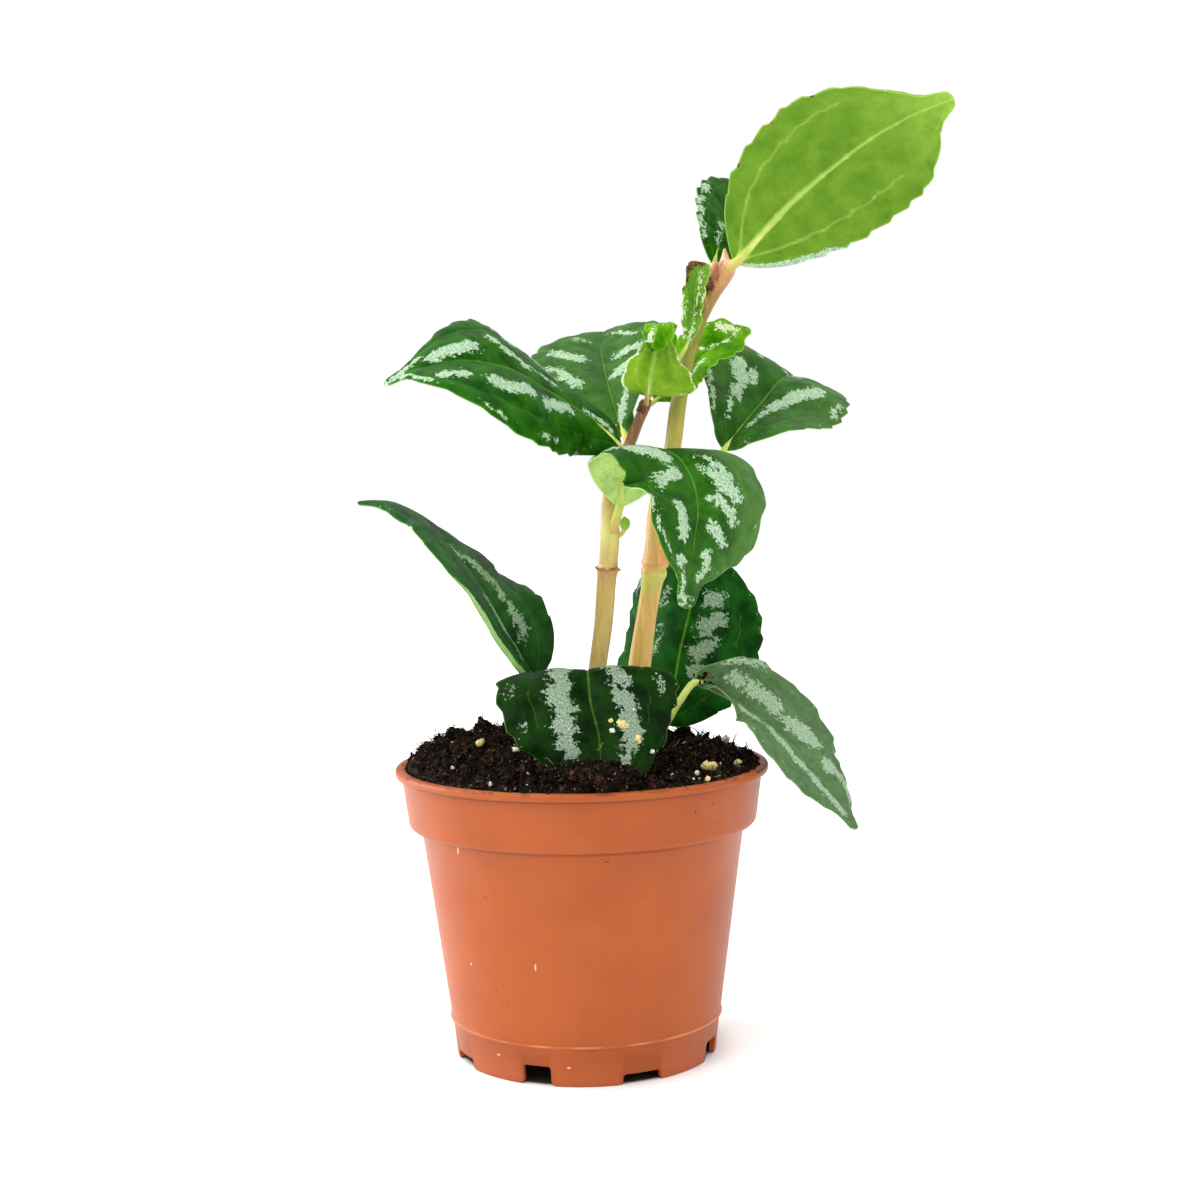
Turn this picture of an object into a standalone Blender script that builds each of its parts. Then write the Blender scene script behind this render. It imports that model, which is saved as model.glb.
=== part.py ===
"""A potted aluminum plant: a nursery pot, its soil, two stems and the leaves that grow from them.

Sizes and places below are millimetres, measured from the pot's axis where it meets the floor. +Z is up
and the front is towards -Y. The finished part stands in metres, with its origin on the floor in the
middle of its whole footprint.
"""
import math

import bmesh
import bpy
import numpy as np

MM = 0.001
GAP = 0.32                # clear space between touching pieces

# Pot
RIM_RADIUS = 52.4         # outer edge of the flanged lip
POT_HEIGHT = 81.8
LIP_THICK = 2.2
BAND_TOP_RADIUS = 50.6
BAND_LOW_RADIUS = 49.0
BAND_BOTTOM = 65.0
BODY_TOP_RADIUS = 45.4
FOOT_RADIUS = 36.6
WALL = 1.3
BEAD_HEIGHT = 11.0        # raised line round the foot
BEAD_PROUD = 0.45
POT_FLOOR = 8.0           # underside of the raised floor
POT_STEPS = 48
DRAIN_NOTCH = (8.0, 5.6)  # width and height
SHALLOW_NOTCH = (11.0, 3.0)
FIRST_DRAIN_ANGLE = -111.5

# Soil
SOIL_RIM_DROP = 2.4       # how far the soil lies under the rim in front
SOIL_HEAP = 6.5           # how far it rises at the back left
SOIL_FLOOR_GAP = 0.4
SOIL_RINGS = 7
SOIL_STEPS = 39

# Leaves
STALK_HALF = 1.0          # half the width of a leaf stalk
STALK_THICK = 1.5
BLADE_THICK = 0.7
RIB_THICK = 1.05
TEETH_FROM = 0.17
TEETH_TO = 0.90
SMOOTHING = 0.045         # share of a leaf's length over which its direction is averaged
TOOTH_PEAK = 0.72         # where in its pitch a tooth is widest, so that it points forward
OUTLINE = [(0.0, 0.04), (0.05, 0.27), (0.13, 0.52), (0.25, 0.76), (0.4, 0.94), (0.55, 1.0), (0.7, 0.92),
           (0.81, 0.71), (0.885, 0.42), (0.93, 0.23), (0.965, 0.16), (0.99, 0.11), (1.0, 0.04)]

# Stems: points along the middle and the radius at each
STEM_TALL = [((12.5, 2, 70), 3.0), ((14.5, 2, 92), 3.2), ((17, 2, 110), 3.1), ((19, 2, 123), 2.8),
             ((20.5, 2, 131), 2.9), ((21.5, 2, 137), 3.7), ((22, 2, 143), 3.0), ((22.8, 2, 154), 2.5),
             ((26.8, 2, 168.5), 2.35), ((29, 2, 183), 2.2), ((31.7, 2, 195), 1.95), ((35, 2, 204.5), 1.65),
             ((37.1, 2, 209), 1.85), ((38.7, 2, 213), 2.75), ((40.3, 2, 216), 3.2), ((41.6, 2, 218.4), 2.9),
             ((42.2, 2, 221), 1.4), ((42.3, 2, 224.6), 0.25)]
STEM_SHORT = [((-0.3, -4, 70), 2.5), ((2, -4, 90), 2.5), ((4.9, -4, 109), 2.5), ((6.8, -4, 122), 2.5),
              ((7.9, -4, 134), 2.7), ((8.2, -4, 136.5), 3.0), ((8.5, -4, 139), 2.6), ((9, -4, 147), 2.6),
              ((9, -3.2, 155), 2.1), ((10.8, -1.8, 163.5), 1.8), ((14.9, -1.3, 171), 1.5),
              ((17.6, -1.3, 177.5), 1.45), ((19.4, -1.6, 181.4), 1.55), ((20.3, -1.9, 183.4), 1.0)]

# Each leaf: the stalk runs from its stem to the blade, the midrib from the blade's base to its tip. face
# is where the upper side looks, fold is how far each half rises from the midrib at first, in degrees, and
# curl is how far it has bent down again at the margin. Three or more values go from base to tip. A leaf may
# have an outline of its own, and a narrower right half.
LEAVES = {
    "leaf_top": dict(
        stem="tall", stalk=[(41.5, 1.5, 218)], teeth=8, width=50,
        midrib=[(45, -1, 220.5), (59, -6.5, 235), (70.5, -11, 244.5), (83, -17.5, 253), (100.5, -27, 260)],
        face=[(-0.3, 0.95, 0.1), (-0.45, 0.85, 0.2), (-0.65, 0.75, 0.2)],
        fold_left=(14, 14, 4), curl_left=(26, 27, 35), fold_right=(16, 10, -4), curl_right=(25, 32, 44)),
    "leaf_top_small": dict(
        stem="tall", stalk=[(40, 2.5, 216.5)], teeth=6, width=24,
        midrib=[(39.6, 6, 220.5), (42, 12.5, 228.5), (47, 27.5, 238.5), (54.5, 42, 247)],
        face=[(0.55, -0.75, 0.45), (0.5, -0.6, 0.6), (0.4, -0.4, 0.8)],
        fold_left=17, curl_left=23, fold_right=15, curl_right=25),
    "leaf_upper_left": dict(
        stem="short", stalk=[(14.8, -1.2, 168)], teeth=8, width=51,
        midrib=[(13.2, -4.8, 169.5), (4.5, -6, 178), (-7, -12.5, 185.5), (-19, -23.5, 192),
                (-31.5, -28.5, 193.5), (-50, -28.5, 188)],
        face=[(-0.1, -0.5, 0.85), (0.25, -0.65, 0.75), (0.05, -0.4, 0.95)],
        fold_left=(1, 8, 22), curl_left=(35, 29, 20), fold_right=(-8, 5, 11), curl_right=(34, 30, 29)),
    "leaf_upper_back": dict(
        stem="short", stalk=[(14.8, -1, 171)], teeth=8, width=44,
        midrib=[(13.8, 4, 173.5), (10.5, 18, 184.5), (8.5, 36, 195), (8, 52, 203.5), (10, 59, 205)],
        face=[(-0.35, -0.6, 0.7), (0, -0.5, 0.85), (-0.1, -0.2, 0.95)],
        fold_left=15, curl_left=24, fold_right=(40, 34, 25), curl_right=(0, 10, 17)),
    "leaf_right": dict(
        stem="tall", stalk=[(22, 2, 137), (27, 4.5, 145), (35, 7, 158)], teeth=8, width=45.5,
        midrib=[(42, 8, 169), (47, 13, 175), (53.5, 24, 181.5), (62, 38.5, 189.5), (69, 57, 188)],
        face=[(0.1, -0.65, 0.75), (0.25, -0.6, 0.75), (0.25, -0.35, 0.9)],
        fold_left=(38, 22, 15), curl_left=(10, 21, 23), fold_right=(30, 16, 15), curl_right=(12, 22, 23)),
    "leaf_front": dict(
        stem="short", stalk=[(8.8, -4, 144.5)], teeth=8, width=43,
        midrib=[(11.7, -7.5, 154), (13, -9.5, 161.5), (16.5, -15.5, 167), (24.5, -25, 169), (30, -30, 162.5),
                (31.5, -35, 153.5), (30, -40, 144.5), (27.5, -43.5, 128.5)],
        face=[(0, 0.97, 0.25), (0.1, 0.2, 0.97), (0, -0.6, 0.8), (0.25, -0.95, 0.1), (0.4, -0.9, 0)],
        fold_left=(6, -3, -11), curl_left=(28, 32, 44), fold_right=(5, 5, 25, 33, 37),
        curl_right=(25, 34, 15, 4, -4)),
    "leaf_left": dict(
        stem="short", stalk=[(1.5, -4, 88), (-5.2, -1.5, 95.5)], teeth=8, width=49,
        midrib=[(-11.5, 1.5, 103.5), (-15, -1.5, 109.5), (-21, -7, 120.5), (-29, -8, 135),
                (-42.8, -3.5, 150.5), (-51, -4.5, 155.5), (-60.5, -5.5, 156)],
        face=[(0.5, -0.7, 0.55), (0.55, -0.2, 0.8), (0.85, 0, 0.5)],
        fold_left=(35, 22, 10), curl_left=(16, 25, 33), fold_right=(45, 10, -6), curl_right=(8, 28, 35)),
    "leaf_lower_back": dict(
        stem="tall", stalk=[(14, 2, 87), (18.5, 6, 87.5)], teeth=8, width=50,
        midrib=[(24, 10.5, 91), (27, 18.5, 100), (29.5, 26, 110), (33, 30, 122.5), (38, 34, 143)],
        face=[(0.3, -0.9, 0.2), (0.25, -0.95, 0.1), (0.2, -0.95, 0.25)],
        fold_left=(-15, -50, -28), curl_left=(20, 28, 22), fold_right=(12, 8, 4), curl_right=(23, 24, 36)),
    "leaf_lower_right": dict(
        stem="tall", stalk=[(14, 2, 83.5), (21, 0.5, 88), (28, 0.8, 98.5)], teeth=8, width=43,
        midrib=[(32.5, 2.2, 103.6), (39, 5, 100.5), (47, 5.5, 95.5), (54.5, 1.5, 89.5), (61, -5, 84),
                (70.5, -11, 71.5), (75, -15, 64)],
        face=[(0.45, -0.65, 0.6), (0.6, -0.5, 0.6), (0.7, -0.45, 0.55)],
        fold_left=(45, 20, 4, 2), curl_left=(0, 15, 28, 33), fold_right=(55, 30, 20, 16),
        curl_right=(5, 20, 20, 27)),
    "leaf_front_low": dict(
        stem="short", stalk=[(1.5, -4, 88)], teeth=7, width=50,
        midrib=[(2, -9, 97), (2, -14.5, 104.5), (2, -26, 110.5), (2.5, -33, 103.5), (4.5, -38.5, 95),
                (5, -42, 87.5), (5, -49, 86.5)],
        face=[(-0.05, 0.5, 0.85), (-0.05, 0, 1), (0.25, -0.6, 0.75), (0.1, -0.85, 0.55)],
        fold_left=(8, 8, -5), curl_left=(26, 27, 39), fold_right=(9, 10, -2), curl_right=(26, 26, 31)),
    "leaf_young_front": dict(
        stem="short", stalk=[(19.6, -1.8, 181.5)], teeth=4, width=26, columns=5, stalk_half=0.6,
        right_share=0.68,
        outline=[(0, 0.2), (0.05, 0.85), (0.12, 1), (0.25, 0.85), (0.4, 0.52), (0.52, 0.36), (0.8, 0.38),
                 (0.93, 0.26), (1, 0.05)],
        midrib=[(20, -5.7, 184.5), (20.7, -6.7, 189), (22.2, -7, 196.5), (23, -7.6, 201),
                (22.8, -10, 203.2), (22, -12.4, 200.5), (21, -13.2, 196)],
        face=[(0, 0.97, 0.2), (0, 0.97, 0.1), (0, 0.2, 0.97), (0, -1, 0.1)],
        fold_left=(5, 3, 5), curl_left=(-10, 0, 10), fold_right=(-32, -3, 0), curl_right=(10, 0, 10)),
    "leaf_young_back": dict(
        stem="short", stalk=[(19.8, -1.8, 183)], teeth=3, width=8, columns=5, stalk_half=0.5,
        midrib=[(21.2, 0.8, 186.5), (23.3, 1.3, 192), (25.2, 1.3, 199), (26.6, 1.1, 204.5)],
        face=[(-0.2, -0.95, 0.2), (-0.2, -0.95, 0.2)],
        fold_left=15, curl_left=10, fold_right=5, curl_right=10),
    "leaf_young_right": dict(
        stem="short", stalk=[(19, -1.5, 180.8)], teeth=5, width=19, columns=5, stalk_half=0.6,
        midrib=[(22.5, 4.5, 183), (31, 11.5, 190), (40.5, 13.5, 198.5), (50.5, 16.5, 202.8)],
        face=[(0.05, -0.8, 0.55), (-0.1, -0.7, 0.7), (0.15, -0.85, 0.55)],
        fold_left=(13, 17, 20), curl_left=(20, 16, 14), fold_right=(10, 30, 15), curl_right=(4, 0, 11)),
    "leaf_young_rolled": dict(
        stem="short", stalk=[(20.2, -1.9, 183.4), (25.5, -2.6, 190.5)], teeth=4, width=9, columns=5,
        stalk_half=0.5,
        midrib=[(31, -3.1, 197.5), (33, -3.3, 205.5), (33.7, -3.7, 213), (35.1, -3.3, 220.5)],
        face=[(-0.2, -1, 0.1), (-0.1, -1, 0.1)],
        fold_left=35, curl_left=-20, fold_right=35, curl_right=-20),
    "leaf_axil": dict(
        stem="short", stalk=[(9, -4, 144.5), (12, -5.2, 146)], teeth=0, width=2.8, columns=3, stalk_half=0.5,
        midrib=[(12.7, -5.3, 147), (13.1, -5.3, 149), (13, -5.2, 151)],
        face=[(0.3, -0.9, 0.2), (0.3, -0.9, 0.2)],
        fold_left=15, curl_left=10, fold_right=15, curl_right=10),
}

UNDERSIDE_GREEN = (0.20, 0.42, 0.07)
DEEP_GREEN = (0.02, 0.11, 0.03)
MID_GREEN = (0.04, 0.19, 0.05)
YOUNG_GREEN = (0.26, 0.48, 0.08)


def smooth_curve(points, count=240):
    """Many points on a smooth curve through the given ones, and the distance along it to each."""
    p = np.asarray(points, float)
    knots = np.concatenate([[0], np.cumsum(np.sqrt(np.linalg.norm(np.diff(p, axis=0), axis=1)))])
    slope = np.gradient(p, knots, axis=0, edge_order=2 if len(p) > 2 else 1)
    at = np.linspace(0, knots[-1], count)
    k = np.clip(np.searchsorted(knots, at, side="right") - 1, 0, len(knots) - 2)
    span = (knots[k + 1] - knots[k])[:, None]
    s = (at - knots[k])[:, None] / span
    curve = ((2 * s ** 3 - 3 * s ** 2 + 1) * p[k] + (s ** 3 - 2 * s ** 2 + s) * span * slope[k]
             + (3 * s ** 2 - 2 * s ** 3) * p[k + 1] + (s ** 3 - s ** 2) * span * slope[k + 1])
    far = np.concatenate([[0], np.cumsum(np.linalg.norm(np.diff(curve, axis=0), axis=1))])
    return curve, far


def at_distance(curve, far, distance):
    """Points of the curve at the given distances along it."""
    return np.stack([np.interp(distance, far, curve[:, i]) for i in range(curve.shape[1])], -1)


def unit(vectors):
    """The same directions with length one."""
    return vectors / np.linalg.norm(vectors, axis=-1, keepdims=True)


def along(values, u):
    """Values from base to tip blended smoothly at each u; one number holds all along."""
    v = np.atleast_1d(np.asarray(values, float))
    if len(v) == 1:
        return np.full(len(u), v[0])
    k = np.clip((u * (len(v) - 1)).astype(int), 0, len(v) - 2)
    s = u * (len(v) - 1) - k
    s = s * s * (3 - 2 * s)
    if v.ndim == 2:
        s = s[:, None]
    return v[k] + (v[k + 1] - v[k]) * s


def outline_share(outline, u, teeth, depth):
    """Half width of a blade as a share of its widest, with teeth that point forward."""
    curve, _ = smooth_curve(outline)
    share = np.interp(u, curve[:, 0], curve[:, 1])
    turn = (u - TEETH_FROM) / (TEETH_TO - TEETH_FROM) * teeth
    part = np.mod(turn + 1e-6, 1.0)
    rise = np.where(part < TOOTH_PEAK, part / TOOTH_PEAK, (1 - part) / (1 - TOOTH_PEAK))
    inside = (turn > -1e-6) & (turn < teeth - 1e-6)
    return share + np.where(inside, depth * (rise - 0.5), 0)


def blade_rows(teeth):
    """Shares of the blade's length at which it has a row: one at each notch and one at each tooth."""
    pitch = (TEETH_TO - TEETH_FROM) / max(teeth, 1)
    notches = [TEETH_FROM + pitch * k for k in range(teeth)]
    peaks = [n + pitch * TOOTH_PEAK for n in notches]
    ends = [0, 0.03, 0.07, 0.12, TEETH_TO, 0.93, 0.965, 0.99, 1]
    if not teeth:
        ends = [0, 0.2, 0.4, 0.6, 0.8, 1]
    return np.array(sorted(ends + notches + peaks))


def frame_along(leaf, curve, far, distance, u):
    """Middle, side direction and upper-side direction of a leaf at the given distances."""
    middle = at_distance(curve, far, distance)
    step = SMOOTHING * far[-1]
    heading = unit(at_distance(curve, far, np.minimum(distance + step, far[-1]))
                   - at_distance(curve, far, np.maximum(distance - step, 0)))
    face = along(leaf["face"], u)
    face = unit(face - (face * heading).sum(axis=1, keepdims=True) * heading)
    return middle, np.cross(heading, face), face


def clear_start(leaf, curve, far, base, stem, half):
    """Distance along the stalk at which its end is just clear of its stem."""
    distance = np.arange(0, base + 1, 0.1)
    middle, side, face = frame_along(leaf, curve, far, distance, np.zeros(len(distance)))
    clearance = np.full(len(distance), np.inf)
    for across, above in ((-1, -1), (-1, 1), (1, -1), (1, 1), (0, 0)):
        corner = middle + side * across * half + face * above * STALK_THICK * half / STALK_HALF / 2
        gap = np.linalg.norm(corner[:, None] - stem[0][None], axis=2) - stem[1][None]
        clearance = np.minimum(clearance, gap.min(axis=1))
    blocked = distance[clearance < GAP]
    return blocked.max() + 0.1 if len(blocked) else 0.0


def leaf_grid(leaf, stem):
    """Rows of points from the stalk's end to the tip, and how thick each point is."""
    half_stalk = leaf.get("stalk_half", STALK_HALF)
    curve, far = smooth_curve(leaf["stalk"] + leaf["midrib"])
    base = far[np.linalg.norm(curve - np.array(leaf["midrib"][0], float), axis=1).argmin()]
    start = clear_start(leaf, curve, far, base, stem, half_stalk)
    u = blade_rows(leaf["teeth"])
    stalk_rows = np.linspace(start, base, max(2, int((base - start) / 4) + 2))[:-1] if start < base - 0.3 else []
    distance = np.concatenate([stalk_rows, np.maximum(base + u * (far[-1] - base), start)])
    u = np.concatenate([np.zeros(len(stalk_rows)), u])
    keep = np.concatenate([[True], np.diff(distance) > 0.15])
    distance, u = distance[keep], u[keep]
    middle, side, face = frame_along(leaf, curve, far, distance, u)
    depth = 1.1 / (leaf["width"] / 2) if leaf["width"] > 15 else 0.13
    half = outline_share(leaf.get("outline", OUTLINE), u, leaf["teeth"], depth) * leaf["width"] / 2
    half = np.maximum(half, half_stalk * (1 - 0.6 * u))
    opening = np.clip(u / 0.05, 0, 1) * np.clip((1.01 - u) / 0.09, 0, 1)
    columns = np.linspace(-1, 1, leaf.get("columns", 7))
    grid = np.zeros((len(u), len(columns), 3))
    thick = np.zeros((len(u), len(columns)))
    for j, v in enumerate(columns):
        hand = "right" if v > 0 else "left"
        reach = half * (leaf.get("right_share", 1) if v > 0 else 1)
        fold = np.radians(along(leaf["fold_" + hand], u)) * opening
        curl = np.radians(along(leaf["curl_" + hand], u)) * opening
        curl = np.where(np.abs(curl) < 1e-3, 1e-3, curl)
        out = reach * (np.sin(fold) - np.sin(fold - curl * abs(v))) / curl
        up = reach * (np.cos(fold - curl * abs(v)) - np.cos(fold)) / curl
        grid[:, j] = middle + side * (out * np.sign(v))[:, None] + face * up[:, None]
        rib = (RIB_THICK - BLADE_THICK) * (1 - u) if v == 0 else 0
        base_thick = (STALK_THICK - BLADE_THICK) * (1 - np.clip(u / 0.06, 0, 1))
        thick[:, j] = BLADE_THICK + np.maximum(rib, base_thick * half_stalk / STALK_HALF)
    return grid, thick


def principled(name, colour, roughness):
    """A plain finish with the given colour and roughness."""
    material = bpy.data.materials.new(name)
    material.use_nodes = True
    shader = material.node_tree.nodes["Principled BSDF"]
    shader.inputs["Base Color"].default_value = (*colour, 1)
    shader.inputs["Roughness"].default_value = roughness
    shader.inputs["Metallic"].default_value = 0
    return material


def add_object(name, data, collection):
    """A new object in the given collection."""
    thing = bpy.data.objects.new(name, data)
    collection.objects.link(thing)
    return thing


def solid_mesh(thing):
    """The object's finished shape as a mesh of its own, with doubled points merged."""
    bpy.context.view_layer.update()
    evaluated = thing.evaluated_get(bpy.context.evaluated_depsgraph_get())
    mesh = bpy.data.meshes.new_from_object(evaluated)
    shape = bmesh.new()
    shape.from_mesh(mesh)
    bmesh.ops.remove_doubles(shape, verts=shape.verts, dist=1e-6)
    bmesh.ops.triangulate(shape, faces=shape.faces)
    bmesh.ops.recalc_face_normals(shape, faces=shape.faces)
    shape.to_mesh(mesh)
    shape.free()
    return mesh


def turned(name, profile, steps, collection):
    """A shape turned about the Z axis from (radius, height) points in millimetres."""
    mesh = bpy.data.meshes.new(name)
    points = [(r * MM, 0, z * MM) for r, z in profile]
    mesh.from_pydata(points, [(i, i + 1) for i in range(len(points) - 1)], [])
    thing = add_object(name, mesh, collection)
    screw = thing.modifiers.new("turn", "SCREW")
    screw.steps = steps
    screw.render_steps = steps
    screw.use_merge_vertices = True
    screw.merge_threshold = 0.00001
    screw.use_smooth_shade = True
    return thing


def cut(thing, cutters):
    """Take every object of a collection out of the thing."""
    modifier = thing.modifiers.new("cut", "BOOLEAN")
    modifier.operation = "DIFFERENCE"
    modifier.operand_type = "COLLECTION"
    modifier.collection = cutters
    modifier.solver = "EXACT"


def hide_guide(thing):
    """Mark an object as a guide that is not part of the model."""
    thing.hide_render = True
    thing.display_type = "WIRE"


def body_radius(height):
    """Outer radius of the pot's body between its foot and the band."""
    return FOOT_RADIUS + (BODY_TOP_RADIUS - FOOT_RADIUS) * height / BAND_BOTTOM


def pot_profile():
    """Outline of the pot's wall from the middle of its floor, over the rim and down to the foot."""
    floor_top = POT_FLOOR + WALL
    lip_under = POT_HEIGHT - LIP_THICK
    corner = 1.4
    inside = [(0, floor_top), (body_radius(floor_top) - WALL - 1.2, floor_top),
              (body_radius(floor_top) - WALL, floor_top + 1.2), (body_radius(BAND_BOTTOM) - WALL, BAND_BOTTOM),
              (BAND_LOW_RADIUS - WALL, BAND_BOTTOM + 2.6), (BAND_TOP_RADIUS - WALL, lip_under)]
    lip = [(BAND_TOP_RADIUS - WALL + 0.2, POT_HEIGHT - 0.4), (BAND_TOP_RADIUS - WALL + 0.7, POT_HEIGHT),
           (RIM_RADIUS - 0.8, POT_HEIGHT), (RIM_RADIUS - 0.2, POT_HEIGHT - 0.3), (RIM_RADIUS, POT_HEIGHT - 0.9),
           (RIM_RADIUS - 0.1, lip_under + 0.3), (RIM_RADIUS - 0.5, lip_under)]
    band = [(BAND_TOP_RADIUS, lip_under - 0.1), (BAND_LOW_RADIUS, BAND_BOTTOM + 2 * corner),
            (BAND_LOW_RADIUS - 0.5, BAND_BOTTOM + 0.6), (BAND_LOW_RADIUS - corner, BAND_BOTTOM)]
    body = [(BODY_TOP_RADIUS, BAND_BOTTOM), (body_radius(BEAD_HEIGHT + 0.6), BEAD_HEIGHT + 0.6),
            (body_radius(BEAD_HEIGHT) + BEAD_PROUD, BEAD_HEIGHT + 0.1),
            (body_radius(BEAD_HEIGHT) + BEAD_PROUD, BEAD_HEIGHT - 0.3),
            (body_radius(BEAD_HEIGHT) - 0.4, BEAD_HEIGHT - 0.8), (FOOT_RADIUS, 0)]
    under = [(FOOT_RADIUS - WALL, 0), (body_radius(POT_FLOOR) - WALL - 0.4, POT_FLOOR), (0, POT_FLOOR)]
    return inside + lip + band + body + under


def notch_cutter(name, size, angle, collection):
    """A block with flared lower corners that cuts one notch in the foot."""
    width, height = size
    flare = 1.0
    outline = [(-width / 2 - flare, -2), (width / 2 + flare, -2), (width / 2 + flare, 0), (width / 2, flare),
               (width / 2, height), (-width / 2, height), (-width / 2, flare), (-width / 2 - flare, 0)]
    shape = bmesh.new()
    face = shape.faces.new([shape.verts.new(((FOOT_RADIUS - 5) * MM, y * MM, z * MM)) for y, z in outline])
    made = bmesh.ops.extrude_face_region(shape, geom=[face])
    moved = [v for v in made["geom"] if isinstance(v, bmesh.types.BMVert)]
    bmesh.ops.translate(shape, verts=moved, vec=(10 * MM, 0, 0))
    bmesh.ops.recalc_face_normals(shape, faces=shape.faces)
    mesh = bpy.data.meshes.new(name)
    shape.to_mesh(mesh)
    shape.free()
    thing = add_object(name, mesh, collection)
    thing.rotation_euler.z = math.radians(angle)
    hide_guide(thing)


def build_pot(parts, guides):
    """The turned pot with four drain notches and four shallow ones in its foot."""
    pot = turned("pot", pot_profile(), POT_STEPS, parts)
    pot.data.materials.append(principled("terracotta plastic", (0.55, 0.13, 0.05), 0.45))
    notches = bpy.data.collections.new("notch cutters")
    guides.children.link(notches)
    for k in range(8):
        size = SHALLOW_NOTCH if k % 2 else DRAIN_NOTCH
        notch_cutter(f"notch_{k}", size, FIRST_DRAIN_ANGLE + 45 * k, notches)
    cut(pot, notches)


def soil_height(x, y):
    """Height of the soil's top: just under the rim in front, heaped behind and to the left."""
    lean = np.clip((y - 0.6 * x + 45) / 90, 0, 1)
    lumps = (1.1 * np.sin(0.31 * x + 0.9) * np.cos(0.27 * y - 0.4) + 0.7 * np.sin(0.62 * x - 0.5 * y)
             + 0.5 * np.cos(0.85 * y + 0.4 * x + 1.2))
    edge = np.clip((49.4 - np.hypot(x, y)) / 5, 0, 1)
    return POT_HEIGHT - SOIL_RIM_DROP + SOIL_HEAP * lean * (0.3 + 0.7 * edge) + lumps * (0.3 + 0.7 * edge)


def build_soil(parts, guides, stems):
    """A plug that fills the pot, turned and then heaped on top, with plain holes for the stems."""
    floor = POT_FLOOR + WALL + SOIL_FLOOR_GAP
    side = 0.62
    shoulder = BAND_LOW_RADIUS - WALL - side
    top_radius = BAND_TOP_RADIUS - WALL - side
    top = [(top_radius * k / SOIL_RINGS, POT_HEIGHT) for k in range(SOIL_RINGS + 1)]
    wall = [(shoulder, BAND_BOTTOM + 3.2), (body_radius(BAND_BOTTOM) - WALL - side, BAND_BOTTOM + 0.6),
            (body_radius(floor + 1.2) - WALL - side, floor + 1.2),
            (body_radius(floor) - WALL - side - 1.4, floor), (0, floor)]
    blank = turned("soil_blank", top + wall, SOIL_STEPS, parts)
    mesh = solid_mesh(blank)
    bpy.data.objects.remove(blank)
    shape = bmesh.new()
    shape.from_mesh(mesh)
    for point in shape.verts:
        if point.co.z > (POT_HEIGHT - 1) * MM:
            point.co.z = soil_height(point.co.x / MM, point.co.y / MM) * MM
    shape.to_mesh(mesh)
    shape.free()
    soil = add_object("soil", mesh, parts)
    soil.data.materials.clear()
    soil.data.materials.append(principled("peat", (0.02, 0.014, 0.01), 0.95))
    holes = bpy.data.collections.new("stem holes")
    guides.children.link(holes)
    for name, points in stems.items():
        foot = points[0][0]
        collar = points[1][0]
        hole = [((foot[0], foot[1], foot[2] - 1), points[0][1] + GAP + 0.15), (foot, points[0][1] + GAP + 0.15),
                (collar, points[1][1] + GAP + 0.15)]
        tube = stem_tube(f"hole_{name}", hole, parts, count=8)
        cutter = add_object(f"hole_{name}_cutter", solid_mesh(tube), holes)
        bpy.data.objects.remove(tube)
        hide_guide(cutter)
    cut(soil, holes)


def stem_tube(name, points, parts, count=26):
    """A round tube of changing thickness along a smooth curve."""
    path = np.array([(*place, radius) for place, radius in points], float)
    curve, far = smooth_curve(path[:, :3])
    knots = [far[np.linalg.norm(curve - place, axis=1).argmin()] for place in path[:, :3]]
    distance = np.unique(np.concatenate([np.linspace(0, far[-1], count), knots[-4:]]))
    distance = distance[np.concatenate([[True], np.diff(distance) > 0.6])]
    places = at_distance(curve, far, distance)
    radii = np.interp(distance, knots, path[:, 3])
    data = bpy.data.curves.new(name, "CURVE")
    data.dimensions = "3D"
    data.bevel_depth = MM
    data.bevel_resolution = 4
    data.use_fill_caps = True
    spline = data.splines.new("POLY")
    spline.points.add(len(places) - 1)
    for point, place, radius in zip(spline.points, places, radii):
        point.co = (*(place * MM), 1)
        point.radius = radius
    return add_object(name, data, parts)


def stem_axis(points):
    """Points along a stem's middle with the radius at each, for keeping leaf stalks clear of it."""
    path = np.array([(*place, radius) for place, radius in points], float)
    curve, far = smooth_curve(path[:, :3], 400)
    knots = [far[np.linalg.norm(curve - place, axis=1).argmin()] for place in path[:, :3]]
    return curve, np.interp(far, knots, path[:, 3])


def build_leaf(name, leaf, stem, colour, parts):
    """A blade on its stalk: a bent sheet, split into triangles and then given its thickness."""
    grid, thick = leaf_grid(leaf, stem)
    rows, columns = thick.shape
    number = np.arange(rows * columns).reshape(rows, columns)
    a, b = number[:-1, :-1], number[:-1, 1:]
    c, d = number[1:, 1:], number[1:, :-1]
    left = np.arange(columns - 1) < (columns - 1) // 2
    first = np.where(left[None, :, None], np.stack([a, b, c], -1), np.stack([a, b, d], -1))
    second = np.where(left[None, :, None], np.stack([a, c, d], -1), np.stack([b, c, d], -1))
    faces = np.concatenate([first.reshape(-1, 3), second.reshape(-1, 3)])
    mesh = bpy.data.meshes.new(name)
    mesh.from_pydata((grid.reshape(-1, 3) * MM).tolist(), [], faces.tolist())
    thing = add_object(name, mesh, parts)
    thing.data.materials.append(principled(f"{name} green", colour, 0.4))
    group = thing.vertex_groups.new(name="thickness")
    for index, share in enumerate((thick / STALK_THICK).ravel()):
        group.add([index], float(share), "REPLACE")
    wall = thing.modifiers.new("blade", "SOLIDIFY")
    wall.thickness = STALK_THICK * MM
    wall.offset = 0
    wall.vertex_group = group.name
    wall.thickness_vertex_group = 0
    wall.use_even_offset = False
    mesh.shade_smooth()


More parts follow.
